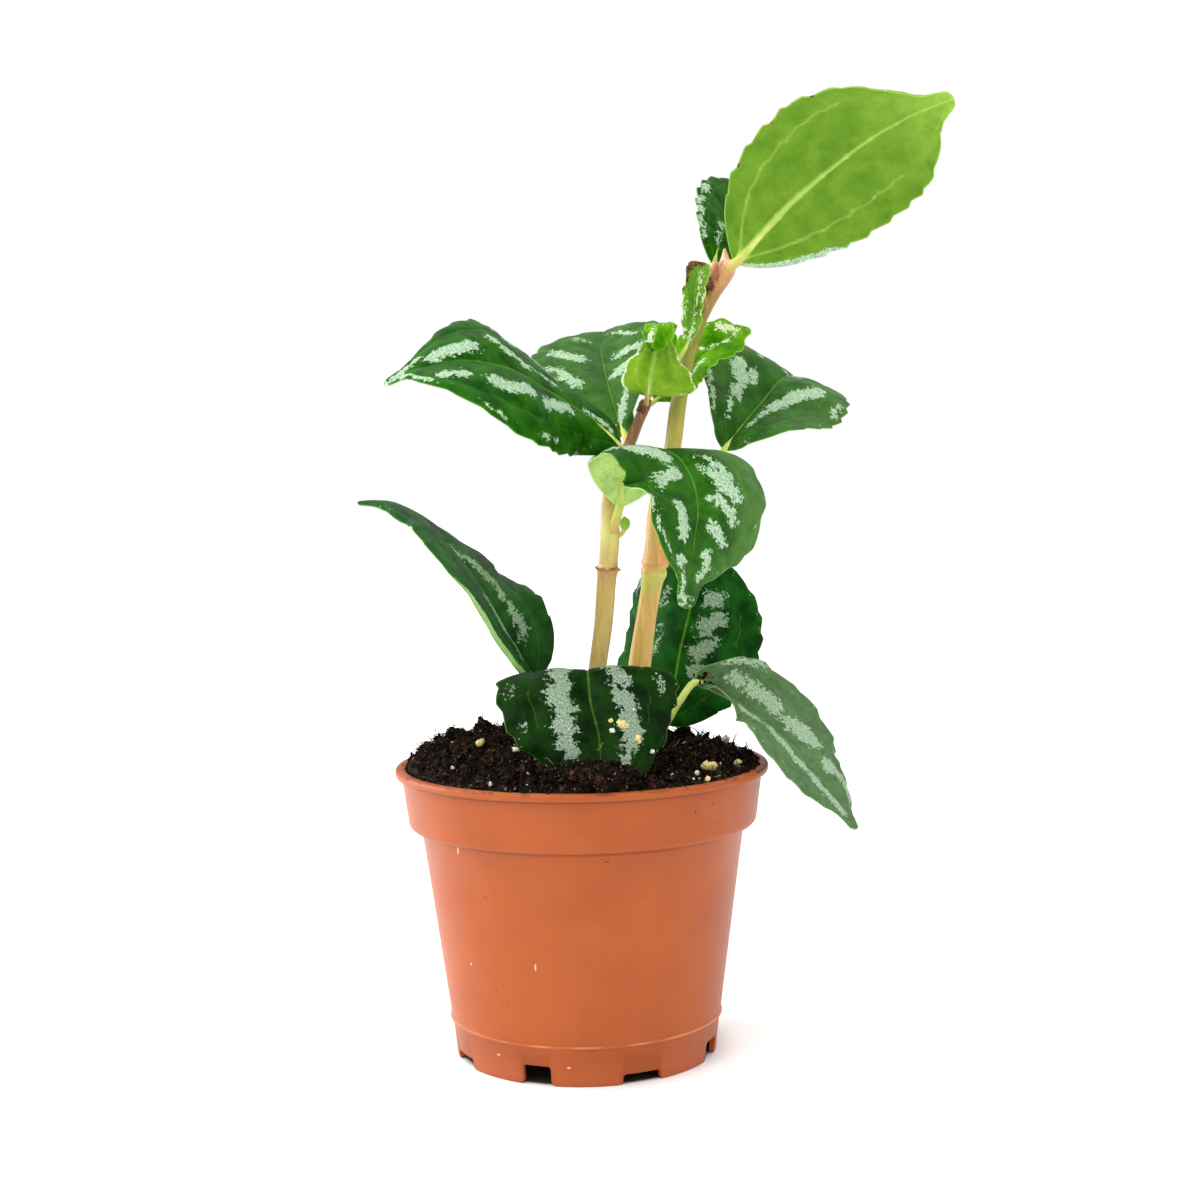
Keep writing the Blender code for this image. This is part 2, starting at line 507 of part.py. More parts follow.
def leaf_colour(name):
    """The main colour of a leaf: pale from below, deep on the old leaves and yellow green on the young."""
    if name == "leaf_top":
        return UNDERSIDE_GREEN
    if "young" in name or name == "leaf_axil":
        return YOUNG_GREEN
    if "low" in name or name == "leaf_left":
        return DEEP_GREEN
    return MID_GREEN


def centre_on_floor(parts):
    """Move the parts and their cutters alike, so that the middle of the footprint is the origin."""
    bpy.context.view_layer.update()
    graph = bpy.context.evaluated_depsgraph_get()
    corners = []
    for thing in parts.objects:
        evaluated = thing.evaluated_get(graph)
        mesh = evaluated.to_mesh()
        points = np.empty(len(mesh.vertices) * 3)
        mesh.vertices.foreach_get("co", points)
        corners.append(points.reshape(-1, 3).min(axis=0))
        corners.append(points.reshape(-1, 3).max(axis=0))
        evaluated.to_mesh_clear()
    middle = (np.min(corners, axis=0) + np.max(corners, axis=0)) / 2
    for thing in bpy.data.objects:
        thing.location = (-middle[0], -middle[1], 0)
    bpy.context.view_layer.update()


def main():
    """Clear the scene and build the plant in its pot."""
    for thing in list(bpy.data.objects):
        bpy.data.objects.remove(thing, do_unlink=True)
    parts = bpy.data.collections.new("Potted aluminum plant")
    guides = bpy.data.collections.new("Cutters")
    bpy.context.scene.collection.children.link(parts)
    bpy.context.scene.collection.children.link(guides)
    stems = {"tall": STEM_TALL, "short": STEM_SHORT}
    build_pot(parts, guides)
    build_soil(parts, guides, stems)
    stem_colour = {"tall": (0.52, 0.34, 0.10), "short": (0.60, 0.45, 0.16)}
    for name, points in stems.items():
        stem = stem_tube(f"stem_{name}", points, parts)
        stem.data.materials.append(principled(f"{name} stem", stem_colour[name], 0.5))
    axes = {name: stem_axis(points) for name, points in stems.items()}
    for name, leaf in LEAVES.items():
        build_leaf(name, leaf, axes[leaf["stem"]], leaf_colour(name), parts)
    centre_on_floor(parts)


main()
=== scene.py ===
# %% [markdown]
# # A potted aluminum plant
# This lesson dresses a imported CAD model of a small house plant: a terracotta-coloured nursery pot, dark peat,
# two stems and fifteen leaves. The CAD model gives every place and size. The pieces here follow its forms
# closely and add what it leaves out: veins, silver marks, crumbs of soil and the finish of each surface.

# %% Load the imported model
import math

import bmesh
import bpy
import numpy as np
from mathutils import Matrix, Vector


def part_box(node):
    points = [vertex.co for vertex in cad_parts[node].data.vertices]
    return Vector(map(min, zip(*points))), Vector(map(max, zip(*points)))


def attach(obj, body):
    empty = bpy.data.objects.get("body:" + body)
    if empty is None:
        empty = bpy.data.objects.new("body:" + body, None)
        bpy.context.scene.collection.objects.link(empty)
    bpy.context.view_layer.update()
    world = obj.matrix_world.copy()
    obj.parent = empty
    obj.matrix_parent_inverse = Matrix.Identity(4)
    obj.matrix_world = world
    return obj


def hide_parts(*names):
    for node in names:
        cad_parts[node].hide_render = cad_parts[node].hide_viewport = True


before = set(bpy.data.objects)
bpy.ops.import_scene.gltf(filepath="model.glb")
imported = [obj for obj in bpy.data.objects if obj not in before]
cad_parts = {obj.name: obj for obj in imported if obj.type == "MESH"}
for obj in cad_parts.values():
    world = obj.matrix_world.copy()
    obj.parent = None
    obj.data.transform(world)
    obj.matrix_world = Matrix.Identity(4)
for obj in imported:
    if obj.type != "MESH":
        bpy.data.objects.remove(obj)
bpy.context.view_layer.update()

print("nodes in the frame:", len(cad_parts))

# %% [markdown]
# ## One place to measure from
# Plants are easiest to describe in millimetres from the middle of their pot. The pot's own box gives that
# middle, so every shape below is worked out from it and then moved into the frame in metres.

# %% The pot's axis
MM = 0.001
pot_low, pot_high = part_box("pot")
AXIS = np.array([(pot_low[0] + pot_high[0]) / 2, (pot_low[1] + pot_high[1]) / 2, 0.0]) / MM
print("pot axis in mm:", AXIS.round(2))

# %% [markdown]
# ## The camera
# The picture was taken from a little above the middle of the plant, looking slightly down. A camera's pose
# can be written as three directions: right, up and back. They are built here from a pitch, a yaw and a
# roll, because these are easy to read and to correct. The camera comes first, since every look is judged
# through it.

# %% Camera
CAMERA_DISTANCE = 557.3
CAMERA_HEIGHT = 172.3
PITCH, YAW, ROLL = math.radians(4.59), math.radians(0.61), math.radians(-1.03)
LENS = 59.85


def camera_axes(pitch, yaw, roll):
    """Right, up and forward: forward turns from +Y by yaw and sinks by pitch, roll turns the other two."""
    forward = np.array([math.sin(yaw) * math.cos(pitch), math.cos(yaw) * math.cos(pitch), -math.sin(pitch)])
    level = np.array([math.cos(yaw), -math.sin(yaw), 0.0])
    upward = np.cross(level, forward)
    right = math.cos(roll) * level + math.sin(roll) * upward
    return right, math.cos(roll) * upward - math.sin(roll) * level, forward


right, up, forward = camera_axes(PITCH, YAW, ROLL)
pose = np.eye(4)
pose[:3, 0], pose[:3, 1], pose[:3, 2] = right, up, -forward
pose[:3, 3] = (np.array([0, -CAMERA_DISTANCE, CAMERA_HEIGHT]) + AXIS) * MM
camera = bpy.data.objects.new("camera", bpy.data.cameras.new("camera"))
camera.data.lens = LENS
camera.data.clip_start = 0.01
bpy.context.scene.collection.objects.link(camera)
camera.matrix_world = Matrix(pose.tolist())
bpy.context.scene.camera = camera
print("camera stands", CAMERA_DISTANCE, "mm in front of the pot's axis")

# %% [markdown]
# ## Making meshes from whole arrays
# A shape here is an array of points and arrays of corner numbers. `foreach_set` copies such arrays into a
# mesh in one go, which is far quicker than adding vertices one at a time. Each value that a material needs
# later, such as how silver a spot is, travels with the points as an attribute.

# %% Faces from corner numbers
def grid_numbers(rows, columns, first=0):
    """Corner numbers of a grid, counted row by row."""
    return first + np.arange(rows * columns).reshape(rows, columns)


def grid_faces(rows, columns, first=0, wrap=False):
    """Four-cornered faces between the neighbours of a grid, which may close on itself sideways."""
    number = grid_numbers(rows, columns, first)
    if wrap:
        number = np.concatenate([number, number[:, :1]], axis=1)
    return np.stack([number[:-1, :-1], number[:-1, 1:], number[1:, 1:], number[1:, :-1]], -1).reshape(-1, 4)


def grid_border(grid, inset=0):
    """What stands along the border of a grid, once round it, or that many steps inside each side."""
    far = -1 - inset
    return np.concatenate([grid[inset, :-1], grid[:-1, far], grid[far, :0:-1], grid[:0:-1, inset]])


def wall_faces(first, second):
    """Four-cornered faces between two closed rows of corners."""
    return np.stack([first, second, np.roll(second, -1), np.roll(first, -1)], -1)


def ring_faces(rows, around, flip=False):
    """Faces of rings one behind the other, closed by a fan to one more point at either end."""
    number = grid_numbers(rows, around)
    nearby = np.roll(number, -1, axis=1)
    faces = [grid_faces(rows, around, wrap=True),
             np.stack([np.full(around, number.size), nearby[0], number[0]], -1),
             np.stack([np.full(around, number.size + 1), number[-1], nearby[-1]], -1)]
    return [f[:, ::-1] for f in faces] if flip else faces


print("a grid of 3 by 4 points has", len(grid_faces(3, 4)), "faces")

# %% [markdown] A piece is then points, a list of face arrays and its material.

# %% Pieces from arrays
def add_piece(name, points, faces, material, slot, replaces=(), values=None, smooth=True):
    """A mesh piece from points in millimetres, a list of face arrays and one number per point per value."""
    mesh = bpy.data.meshes.new(name)
    mesh.vertices.add(len(points))
    mesh.vertices.foreach_set("co", ((points + AXIS) * MM).astype(np.float32).ravel())
    corners = np.concatenate([f.ravel() for f in faces]).astype(np.int32)
    sizes = np.concatenate([np.full(len(f), f.shape[1]) for f in faces])
    mesh.loops.add(len(corners))
    mesh.loops.foreach_set("vertex_index", corners)
    mesh.polygons.add(len(sizes))
    mesh.polygons.foreach_set("loop_start", (np.cumsum(sizes) - sizes).astype(np.int32))
    mesh.polygons.foreach_set("use_smooth", np.full(len(sizes), smooth))
    mesh.update(calc_edges=True)
    for key, numbers in (values or {}).items():
        kind = "FLOAT_VECTOR" if numbers.ndim == 2 else "FLOAT"
        layer = mesh.attributes.new(key, kind, "POINT")
        key = "vector" if kind == "FLOAT_VECTOR" else "value"
        layer.data.foreach_set(key, numbers.astype(np.float32).ravel())
    piece = bpy.data.objects.new(name, mesh)
    bpy.context.scene.collection.objects.link(piece)
    mesh.materials.append(material)
    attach(piece, "root")
    if replaces:
        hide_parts(*replaces)
    print(f"{name}: {len(points)} points, {int((sizes - 2).sum())} triangles")
    return piece


# %% [markdown]
# ## Finishes as short recipes
# A finish is a chain of small node steps that ends in a Principled shader. The class below makes one step a
# line, so that a finish reads like a recipe: take a noise, turn it into a mask, lay one colour over another.
# Colours are given as on a colour card, from 0 to 255, and turned into the linear values that light uses.

# %% Finish helpers
def card(red, green, blue):
    """Linear colour of a colour-card value: each share is raised to the power of the display's curve."""
    share = np.array([red, green, blue]) / 255
    linear = np.where(share <= 0.04045, share / 12.92, ((share + 0.055) / 1.055) ** 2.4)
    return (*linear.tolist(), 1.0)


class Finish:
    """A material with a Principled shader, and the node steps that the finishes below are made of."""

    def __init__(self, name, **sockets):
        self.material = bpy.data.materials.new(name)
        self.material.use_nodes = True
        self.tree = self.material.node_tree
        self.shader = self.tree.nodes["Principled BSDF"]
        for key, value in sockets.items():
            self.shader.inputs[key.replace("_", " ")].default_value = value

    def step(self, kind, *inputs, out=0, **settings):
        """One node: settings are its options, inputs are numbers, colours or other steps' results."""
        node = self.tree.nodes.new("ShaderNode" + kind)
        for key, value in settings.items():
            setattr(node, key, value)
        for socket, value in zip([s for s in node.inputs if s.enabled], inputs):
            if isinstance(value, bpy.types.NodeSocket):
                self.tree.links.new(value, socket)
            elif value is not None:
                socket.default_value = value
        return [s for s in node.outputs if s.enabled][out]

    def value(self, name):
        """A number that travels with the mesh."""
        return self.step("Attribute", attribute_name=name, out=2)

    def vector(self, name):
        """A place that travels with the mesh."""
        return self.step("Attribute", attribute_name=name, out=1)

    def where(self):
        """The place in the object, in metres."""
        return self.step("TexCoord", out=3)

    def maths(self, operation, a, b):
        """One sum, product or comparison."""
        return self.step("Math", a, b, operation=operation)

    def plus(self, a, b):
        """Sum of two values."""
        return self.maths("ADD", a, b)

    def times(self, a, b):
        """Product of two values."""
        return self.maths("MULTIPLY", a, b)

    def sway(self, noise, reach):
        """Noise that swings about zero over the given reach."""
        return self.times(self.maths("SUBTRACT", noise, 0.5), reach)

    def height(self):
        """Height in the object, in millimetres."""
        return self.times(self.step("SeparateXYZ", self.where(), out=2), 1000.0)

    def band(self, value, low, high, bottom=0.0, top=1.0):
        """Bottom below low, top above high and a smooth rise in between."""
        return self.step("MapRange", value, low, high, bottom, top, interpolation_type="SMOOTHSTEP")

    def strip(self, value, low, full, to, end):
        """One between full and to, sinking smoothly to zero at low and at end."""
        return self.times(self.band(value, low, full), self.band(value, to, end, 1, 0))

    def noise(self, place, scale, detail=4.0, rough=0.6):
        """Cloudy noise from 0 to 1 with the given number of turns per unit of place."""
        return self.step("TexNoise", place, scale, detail, rough)

    def spots(self, place, scale):
        """Distance to the nearest of many scattered points, in cells."""
        return self.step("TexVoronoi", place, scale, feature="F1")

    def stretch(self, place, x, y, z):
        """The place made longer or shorter along each axis."""
        return self.step("Mapping", place, (0, 0, 0), (0, 0, 0), (x, y, z))

    def streaks(self, x, y, z, detail, rough):
        """Noise in the object with its own number of turns per metre along each axis."""
        return self.noise(self.stretch(self.where(), x, y, z), 1.0, detail, rough)

    def over(self, share, under, top):
        """The top colour laid over the one below, by share."""
        return self.step("Mix", share, under, top, data_type="RGBA", blend_type="MIX")

    def coats(self, colour, *layers):
        """Layers of share and colour, laid one after another over the first colour."""
        for share, top in layers:
            colour = self.over(share, colour, top)
        return colour

    def bump(self, height, depth, strength):
        """Small relief of the given depth in metres, for the shader's normal."""
        return self.step("Bump", strength, depth, height)

    def finish(self, **links):
        """Join the results to the shader's sockets and give the material back."""
        for key, value in links.items():
            self.tree.links.new(value, self.shader.inputs[key.replace("_", " ")])
        return self.material


print("finish steps:", [name for name in dir(Finish) if not name.startswith("_")])

# %% [markdown]
# ## The curve under every stem and leaf
# Stems and midribs bend smoothly through a few named points. A cubic curve through points is worked out
# here rather than with a Curve object, because the leaves need the distance along it and the directions
# across it as plain arrays.

# %% Curve helpers
def smooth_curve(points, count=400):
    """Cubic through the points, each slope taken from its neighbours, and the distance along it."""
    p = np.asarray(points, float)
    knots = np.concatenate([[0], np.cumsum(np.sqrt(np.linalg.norm(np.diff(p, axis=0), axis=1)))])
    slope = np.gradient(p, knots, axis=0, edge_order=2 if len(p) > 2 else 1)
    at = np.linspace(0, knots[-1], count)
    k = np.clip(np.searchsorted(knots, at, side="right") - 1, 0, len(knots) - 2)
    span = (knots[k + 1] - knots[k])[:, None]
    s = (at - knots[k])[:, None] / span
    curve = ((2 * s ** 3 - 3 * s ** 2 + 1) * p[k] + (s ** 3 - 2 * s ** 2 + s) * span * slope[k]
             + (3 * s ** 2 - 2 * s ** 3) * p[k + 1] + (s ** 3 - s ** 2) * span * slope[k + 1])
    return curve, np.concatenate([[0], np.cumsum(np.linalg.norm(np.diff(curve, axis=0), axis=1))])


def distance_of(place, curve, far):
    """Distance along the curve of its point nearest to a place."""
    return far[np.linalg.norm(curve - np.asarray(place, float), axis=1).argmin()]


def at_distance(curve, far, distance):
    """Points of the curve at the given distances along it."""
    return np.stack([np.interp(distance, far, curve[:, i]) for i in range(curve.shape[1])], -1)


def unit(vectors):
    """The same directions with length one."""
    return vectors / np.maximum(np.linalg.norm(vectors, axis=-1, keepdims=True), 1e-12)


def ramp(value, start, full):
    """Zero at start, one at full, even in between and level beyond."""
    return np.clip((value - start) / (full - start), 0, 1)


def bell(value, middle, width):
    """One at the middle, falling off smoothly to both sides over the width."""
    return np.exp(-((value - middle) / width) ** 2)


def about_axis(distance, angle, height):
    """Places at the given distances from the pot's axis, angles about it and heights."""
    return np.stack(np.broadcast_arrays(distance * np.cos(angle), distance * np.sin(angle), height), -1)


def along(values, u):
    """Values from base to tip, blended with a smooth step at each u."""
    v = np.atleast_1d(np.asarray(values, float))
    if len(v) == 1:
        return np.full(len(u), v[0])
    k = np.clip((u * (len(v) - 1)).astype(int), 0, len(v) - 2)
    s = u * (len(v) - 1) - k
    s = s * s * (3 - 2 * s)
    return v[k] + (v[k + 1] - v[k]) * (s[:, None] if v.ndim == 2 else s)


print("a quarter of the way from 0 to 8:", along((0, 8), np.array([0.25])))

# %% [markdown]
# ## The leaves' forms
# Each leaf is a sheet with two coordinates: u runs from the blade's base to its tip, v from its left margin
# to its right one. The midrib is a curve, `face` says where the upper side looks, `fold` how far each half
# rises from the midrib and `curl` how far it has bent down again at the margin.

# %% Leaf table
OUTLINE = [(0, .04), (.05, .27), (.13, .52), (.25, .76), (.4, .94), (.55, 1), (.7, .92), (.81, .71),
           (.885, .42), (.93, .23), (.965, .16), (.99, .11), (1, .04)]
LEAVES = {
    "leaf_top": dict(
        stem="tall", stalk=[(41.5, 1.5, 218)], teeth=8, width=50, rib=2.2, stalk_half=1.25,
        midrib=[(45, -1, 220.5), (59, -6.5, 235), (70.5, -11, 244.5), (83, -17.5, 253), (100.5, -27, 260)],
        face=[(-.3, .95, .1), (-.45, .85, .2), (-.65, .75, .2)],
        fold_left=(14, 14, 4), curl_left=(26, 27, 35), fold_right=(16, 10, -4), curl_right=(25, 32, 44)),
    "leaf_top_small": dict(
        stem="tall", stalk=[(40, 2.5, 216.5)], teeth=6, width=24,
        midrib=[(39.6, 6, 220.5), (42, 12.5, 228.5), (47, 27.5, 238.5), (54.5, 42, 247)],
        face=[(.55, -.75, .45), (.5, -.6, .6), (.4, -.4, .8)],
        fold_left=17, curl_left=23, fold_right=15, curl_right=25),
    "leaf_upper_left": dict(
        stem="short", stalk=[(14.8, -1.2, 168)], teeth=8, width=51,
        midrib=[(13.2, -4.8, 169.5), (4.5, -6, 178), (-7, -12.5, 185.5), (-19, -23.5, 192),
                (-31.5, -28.5, 193.5), (-50, -28.5, 188)],
        face=[(-.1, -.5, .85), (.25, -.65, .75), (.05, -.4, .95)],
        fold_left=(1, 8, 22), curl_left=(35, 29, 20), fold_right=(-8, 5, 11), curl_right=(34, 30, 29)),
    "leaf_upper_back": dict(
        stem="short", stalk=[(14.8, -1, 171)], teeth=8, width=44,
        midrib=[(13.8, 4, 173.5), (10.5, 18, 184.5), (8.5, 36, 195), (8, 52, 203.5), (10, 59, 205)],
        face=[(-.35, -.6, .7), (0, -.5, .85), (-.1, -.2, .95)],
        fold_left=15, curl_left=24, fold_right=(40, 34, 25), curl_right=(0, 10, 17)),
    "leaf_right": dict(
        stem="tall", stalk=[(22, 2, 137), (27, 4.5, 145), (35, 7, 158)], teeth=8, width=45.5,
        midrib=[(42, 8, 169), (47, 13, 175), (53.5, 24, 181.5), (62, 38.5, 189.5), (69, 57, 188)],
        face=[(.1, -.65, .75), (.25, -.6, .75), (.25, -.35, .9)],
        fold_left=(38, 22, 15), curl_left=(10, 21, 23), fold_right=(30, 16, 15), curl_right=(12, 22, 23)),
    "leaf_front": dict(
        stem="short", stalk=[(8.8, -4, 144.5)], teeth=8, width=43,
        midrib=[(11.7, -7.5, 154), (13, -9.5, 161.5), (16.5, -15.5, 167), (24.5, -25, 169), (30, -30, 162.5),
                (31.5, -35, 153.5), (30, -40, 144.5), (27.5, -43.5, 128.5)],
        face=[(0, .97, .25), (.1, .2, .97), (0, -.6, .8), (.25, -.95, .1), (.4, -.9, 0)], stalk_flare=.45,
        fold_left=(6, -3, -11), curl_left=(28, 32, 44), fold_right=(5, 5, 25, 33, 37),
        curl_right=(25, 34, 15, 4, -4)),
    "leaf_left": dict(
        stem="short", stalk=[(1.5, -4, 88), (-5.2, -1.5, 95.5)], teeth=8, width=49,
        midrib=[(-11.5, 1.5, 103.5), (-15, -1.5, 109.5), (-21, -7, 120.5), (-29, -8, 135),
                (-42.8, -3.5, 150.5), (-51, -4.5, 155.5), (-60.5, -5.5, 156)],
        face=[(.5, -.7, .55), (.55, -.2, .8), (.85, 0, .5)],
        fold_left=(35, 22, 10), curl_left=(16, 25, 33), fold_right=(45, 10, -6), curl_right=(8, 28, 35)),
    "leaf_lower_back": dict(
        stem="tall", stalk=[(14, 2, 87), (18.5, 6, 87.5)], teeth=8, width=50,
        midrib=[(24, 10.5, 91), (27, 18.5, 100), (29.5, 26, 110), (33, 30, 122.5), (38, 34, 143)],
        face=[(.3, -.9, .2), (.25, -.95, .1), (.2, -.95, .25)],
        fold_left=(-15, -50, -28), curl_left=(20, 28, 22), fold_right=(12, 8, 4), curl_right=(23, 24, 36)),
    "leaf_lower_right": dict(
        stem="tall", stalk=[(14, 2, 83.5), (21, .5, 88), (28, .8, 98.5)], teeth=8, width=43,
        midrib=[(32.5, 2.2, 103.6), (39, 5, 100.5), (47, 5.5, 95.5), (54.5, 1.5, 89.5), (61, -5, 84),
                (70.5, -11, 71.5), (75, -15, 64)],
        face=[(.45, -.65, .6), (.6, -.5, .6), (.7, -.45, .55)],
        fold_left=(45, 20, 4, 2), curl_left=(0, 15, 28, 33), fold_right=(55, 30, 20, 16),
        curl_right=(5, 20, 20, 27)),
    "leaf_front_low": dict(
        stem="short", stalk=[(1.5, -4, 88)], teeth=7, width=50,
        midrib=[(2, -9, 97), (2, -14.5, 104.5), (2, -26, 110.5), (2.5, -33, 103.5), (4.5, -38.5, 95),
                (5, -42, 87.5), (5, -49, 86.5)],
        face=[(-.05, .5, .85), (-.05, 0, 1), (.25, -.6, .75), (.1, -.85, .55)],
        fold_left=(8, 8, -5), curl_left=(26, 27, 39), fold_right=(9, 10, -2), curl_right=(26, 26, 31)),
    "leaf_young_front": dict(
        stem="short", stalk=[(19.6, -1.8, 181.5)], teeth=4, width=26, stalk_half=.6, right_share=.68,
        rib=1.7, wavy=.75,
        outline=[(0, .2), (.05, .85), (.12, 1), (.25, .85), (.4, .52), (.52, .36), (.8, .38), (.93, .26),
                 (1, .05)],
        midrib=[(20, -5.7, 184.5), (20.7, -6.7, 189), (22.2, -7, 196.5), (23, -7.6, 201),
                (22.8, -10, 203.2), (22, -12.4, 200.5), (21, -13.2, 196)],
        face=[(0, .97, .2), (0, .97, .1), (0, .2, .97), (0, -1, .1)],
        fold_left=(5, 3, 5), curl_left=(-10, 0, 10), fold_right=(-32, -3, 0), curl_right=(10, 0, 10)),
    "leaf_young_back": dict(
        stem="short", stalk=[(19.8, -1.8, 183)], teeth=3, width=8, stalk_half=.5,
        midrib=[(21.2, .8, 186.5), (23.3, 1.3, 192), (25.2, 1.3, 199), (26.6, 1.1, 204.5)],
        face=[(-.2, -.95, .2), (-.2, -.95, .2)],
        fold_left=15, curl_left=10, fold_right=5, curl_right=10),
    "leaf_young_right": dict(
        stem="short", stalk=[(19, -1.5, 180.8)], teeth=5, width=19, stalk_half=.6, wavy=.5,
        midrib=[(22.5, 4.5, 183), (31, 11.5, 190), (40.5, 13.5, 198.5), (50.5, 16.5, 202.8)],
        face=[(.05, -.8, .55), (-.1, -.7, .7), (.15, -.85, .55)],
        fold_left=(13, 17, 20), curl_left=(20, 16, 14), fold_right=(10, 30, 15), curl_right=(4, 0, 11)),
    "leaf_young_rolled": dict(
        stem="short", stalk=[(20.2, -1.9, 183.4), (25.5, -2.6, 190.5)], teeth=4, width=8.8, stalk_half=.5,
        wavy=.6,
        outline=[(0, .1), (.08, .4), (.25, .72), (.5, .84), (.7, 1), (.86, 1.05), (.95, .8), (1, .3)],
        midrib=[(31, -3.1, 197.5), (33, -3.3, 205.5), (33.7, -3.7, 213), (35.1, -3.3, 220.5)],
        face=[(-.2, -1, .1), (-.1, -1, .1)],
        fold_left=30, curl_left=(-20, -20, -50), fold_right=30, curl_right=-20),
    "leaf_axil": dict(
        stem="short", stalk=[(9, -4, 144.5), (12, -5.2, 146)], teeth=0, width=2.8, stalk_half=.5,
        midrib=[(12.7, -5.3, 147), (13.1, -5.3, 149), (13, -5.2, 151)],
        face=[(.3, -.9, .2), (.3, -.9, .2)],
        fold_left=15, curl_left=10, fold_right=15, curl_right=10),
}
print("leaves:", len(LEAVES))

# %% [markdown]
# ## The silver marks
# What gives this plant its name are blisters of air under the skin of the upper side. They lie between the
# side veins in rows, one row each side of the midrib and one near each margin. Each mark is a stroke from
# one (u, v) to another with a half width in millimetres, placed as the real leaves show them.

# %% Strokes of silver
MARKS = {
    "leaf_upper_left": [
        (.98, .1, .88, .35, 1.1), (.98, -.5, .86, -.82, 1.3), (.8, .2, .69, .24, 2.5),
        (.8, -.6, .73, -.4, 1.5), (.65, -.42, .51, -.3, 2.2), (.41, -.36, .28, -.2, 2.2),
        (.59, .5, .53, .3, 1.4), (.53, .3, .44, .22, 1.3), (.4, .25, .3, .2, .4), (.7, -.9, .64, -.92, .6),
        (.5, -.9, .36, -.85, .5), (.19, .05, .08, .2, .8), (.5, .8, .3, .75, 1.2)],
    "leaf_upper_back": [
        (.67, -.68, .6, -.34, 1.9), (.49, -.7, .38, -.44, 2), (.82, -.5, .78, -.22, .6),
        (.58, .25, .56, .55, 1.8), (.42, .18, .44, .38, 2), (.18, .34, .1, .15, 2), (.83, .28, .7, .6, .6)],
    "leaf_front": [
        (.36, .6, .42, .3, 2.6), (.5, .24, .53, .48, 2.3), (.54, .46, .58, .5, 1.5), (.68, .34, .77, .3, 2.2),
        (.85, .42, .96, .8, 1.1), (.46, -.28, .53, -.45, 1.1), (.53, -.45, .6, -.53, 1.4),
        (.51, -.22, .58, -.42, 1.4), (.605, -.22, .65, -.5, 1.5), (.7, -.24, .73, -.45, 1.6),
        (.8, -.27, .88, -.4, 1.3), (.97, .3, .97, -.3, .7), (.72, 1, .84, .75, .5), (.31, .95, .36, .75, .4),
        (.28, .7, .33, .8, .9)],
    "leaf_right": [
        (.37, -.92, .12, -.88, .7), (.53, -.55, .42, -.42, 2.4), (.45, -.38, .3, -.4, 1.8),
        (.3, -.42, .14, -.45, .5), (.54, -.32, .48, -.26, 1.4), (.8, -.3, .74, .2, .7),
        (.16, .2, .34, .2, .6), (.36, .2, .52, .34, 2.1), (.52, .36, .64, .55, 2.4),
        (.84, -.65, .69, -.45, .8), (.5, .9, .6, .86, .5)],
    "leaf_lower_back": [
        (.7, .24, .72, .36, 2.2), (.56, .2, .63, .38, 2.4), (.42, .2, .5, .34, 2.2), (.31, .2, .35, .26, 1.4),
        (.72, -.38, .66, -.42, .9), (.52, -.38, .42, -.38, .9), (.8, -.9, .72, -.95, 1.2)],
    "leaf_front_low": [
        (.4, .33, .48, .3, 2.6), (.53, .38, .6, .34, 3), (.66, .36, .7, .42, 2.8), (.76, .42, .8, .45, 2.2),
        (.9, .62, .93, .5, 1.4), (.36, -.25, .46, -.36, 2.2), (.53, -.36, .6, -.42, 2.6),
        (.67, -.4, .76, -.46, 3), (.84, -.42, .9, -.5, 1.7), (.2, .35, .3, .36, 2), (.15, -.3, .25, -.3, 1.8),
        (.5, .86, .53, .86, .5), (.65, .82, .68, .84, .6), (.45, -.78, .5, -.8, .4)],
    "leaf_lower_right": [
        (.1, -.95, .24, -.9, .9), (.14, -.5, .2, -.44, 1.5), (.25, -.4, .35, -.34, 2.5),
        (.45, -.33, .55, -.4, 3.3), (.7, -.38, .75, -.54, 2.9), (.79, -.66, .84, -.78, 1.9),
        (.25, .45, .42, .48, 1.8), (.5, .46, .66, .44, 2.1), (.73, .42, .9, .38, 1.8)],
    "leaf_left": [(.68, -.2, .55, .17, 1.1), (.55, .17, .42, .33, 1.5), (.42, .33, .2, .28, 1.5),
                  (.4, -.4, .2, -.35, 1.2)],
    "leaf_top_small": [(.6, -.85, .36, -.9, .9), (.36, -.9, .14, -.85, .9), (.33, -.13, .18, -.15, .8),
                       (.6, .4, .4, .4, 1.2)],
    "leaf_young_right": [(.84, -.5, .8, -.62, 1.5), (.6, -.2, .78, .12, .6), (.8, .1, .93, -.1, .5),
                         (.52, .26, .4, .32, .8)],
    "leaf_young_front": [(.1, .75, .25, .85, .5), (.62, .2, .9, .3, .6), (.3, -.7, .1, -.8, .4)],
    "leaf_young_rolled": [(.05, .2, .4, .25, .3), (.5, .3, .9, .25, .3), (.1, -.9, .5, -.95, .2),
                          (.4, 1, .8, 1, .1)],
}


def usual_marks(count, seed):
    """Marks of a leaf that nobody sees in the picture: rows at a third and four fifths of each half."""
    chance = np.random.default_rng(seed)
    marks = []
    for hand in (-1, 1):
        for row, size in ((0.33, 2.2), (0.8, 1.3)):
            for k in range(count):
                u = 0.16 + 0.62 * (k + chance.uniform(-0.2, 0.2)) / (count - 1)
                tilt = chance.uniform(0.06, 0.12)
                reach = size * chance.uniform(0.7, 1.1)
                marks.append((u, hand * (row - tilt), u + 0.06, hand * (row + tilt), reach))
    return marks


MARKS["leaf_top"] = usual_marks(5, 4)
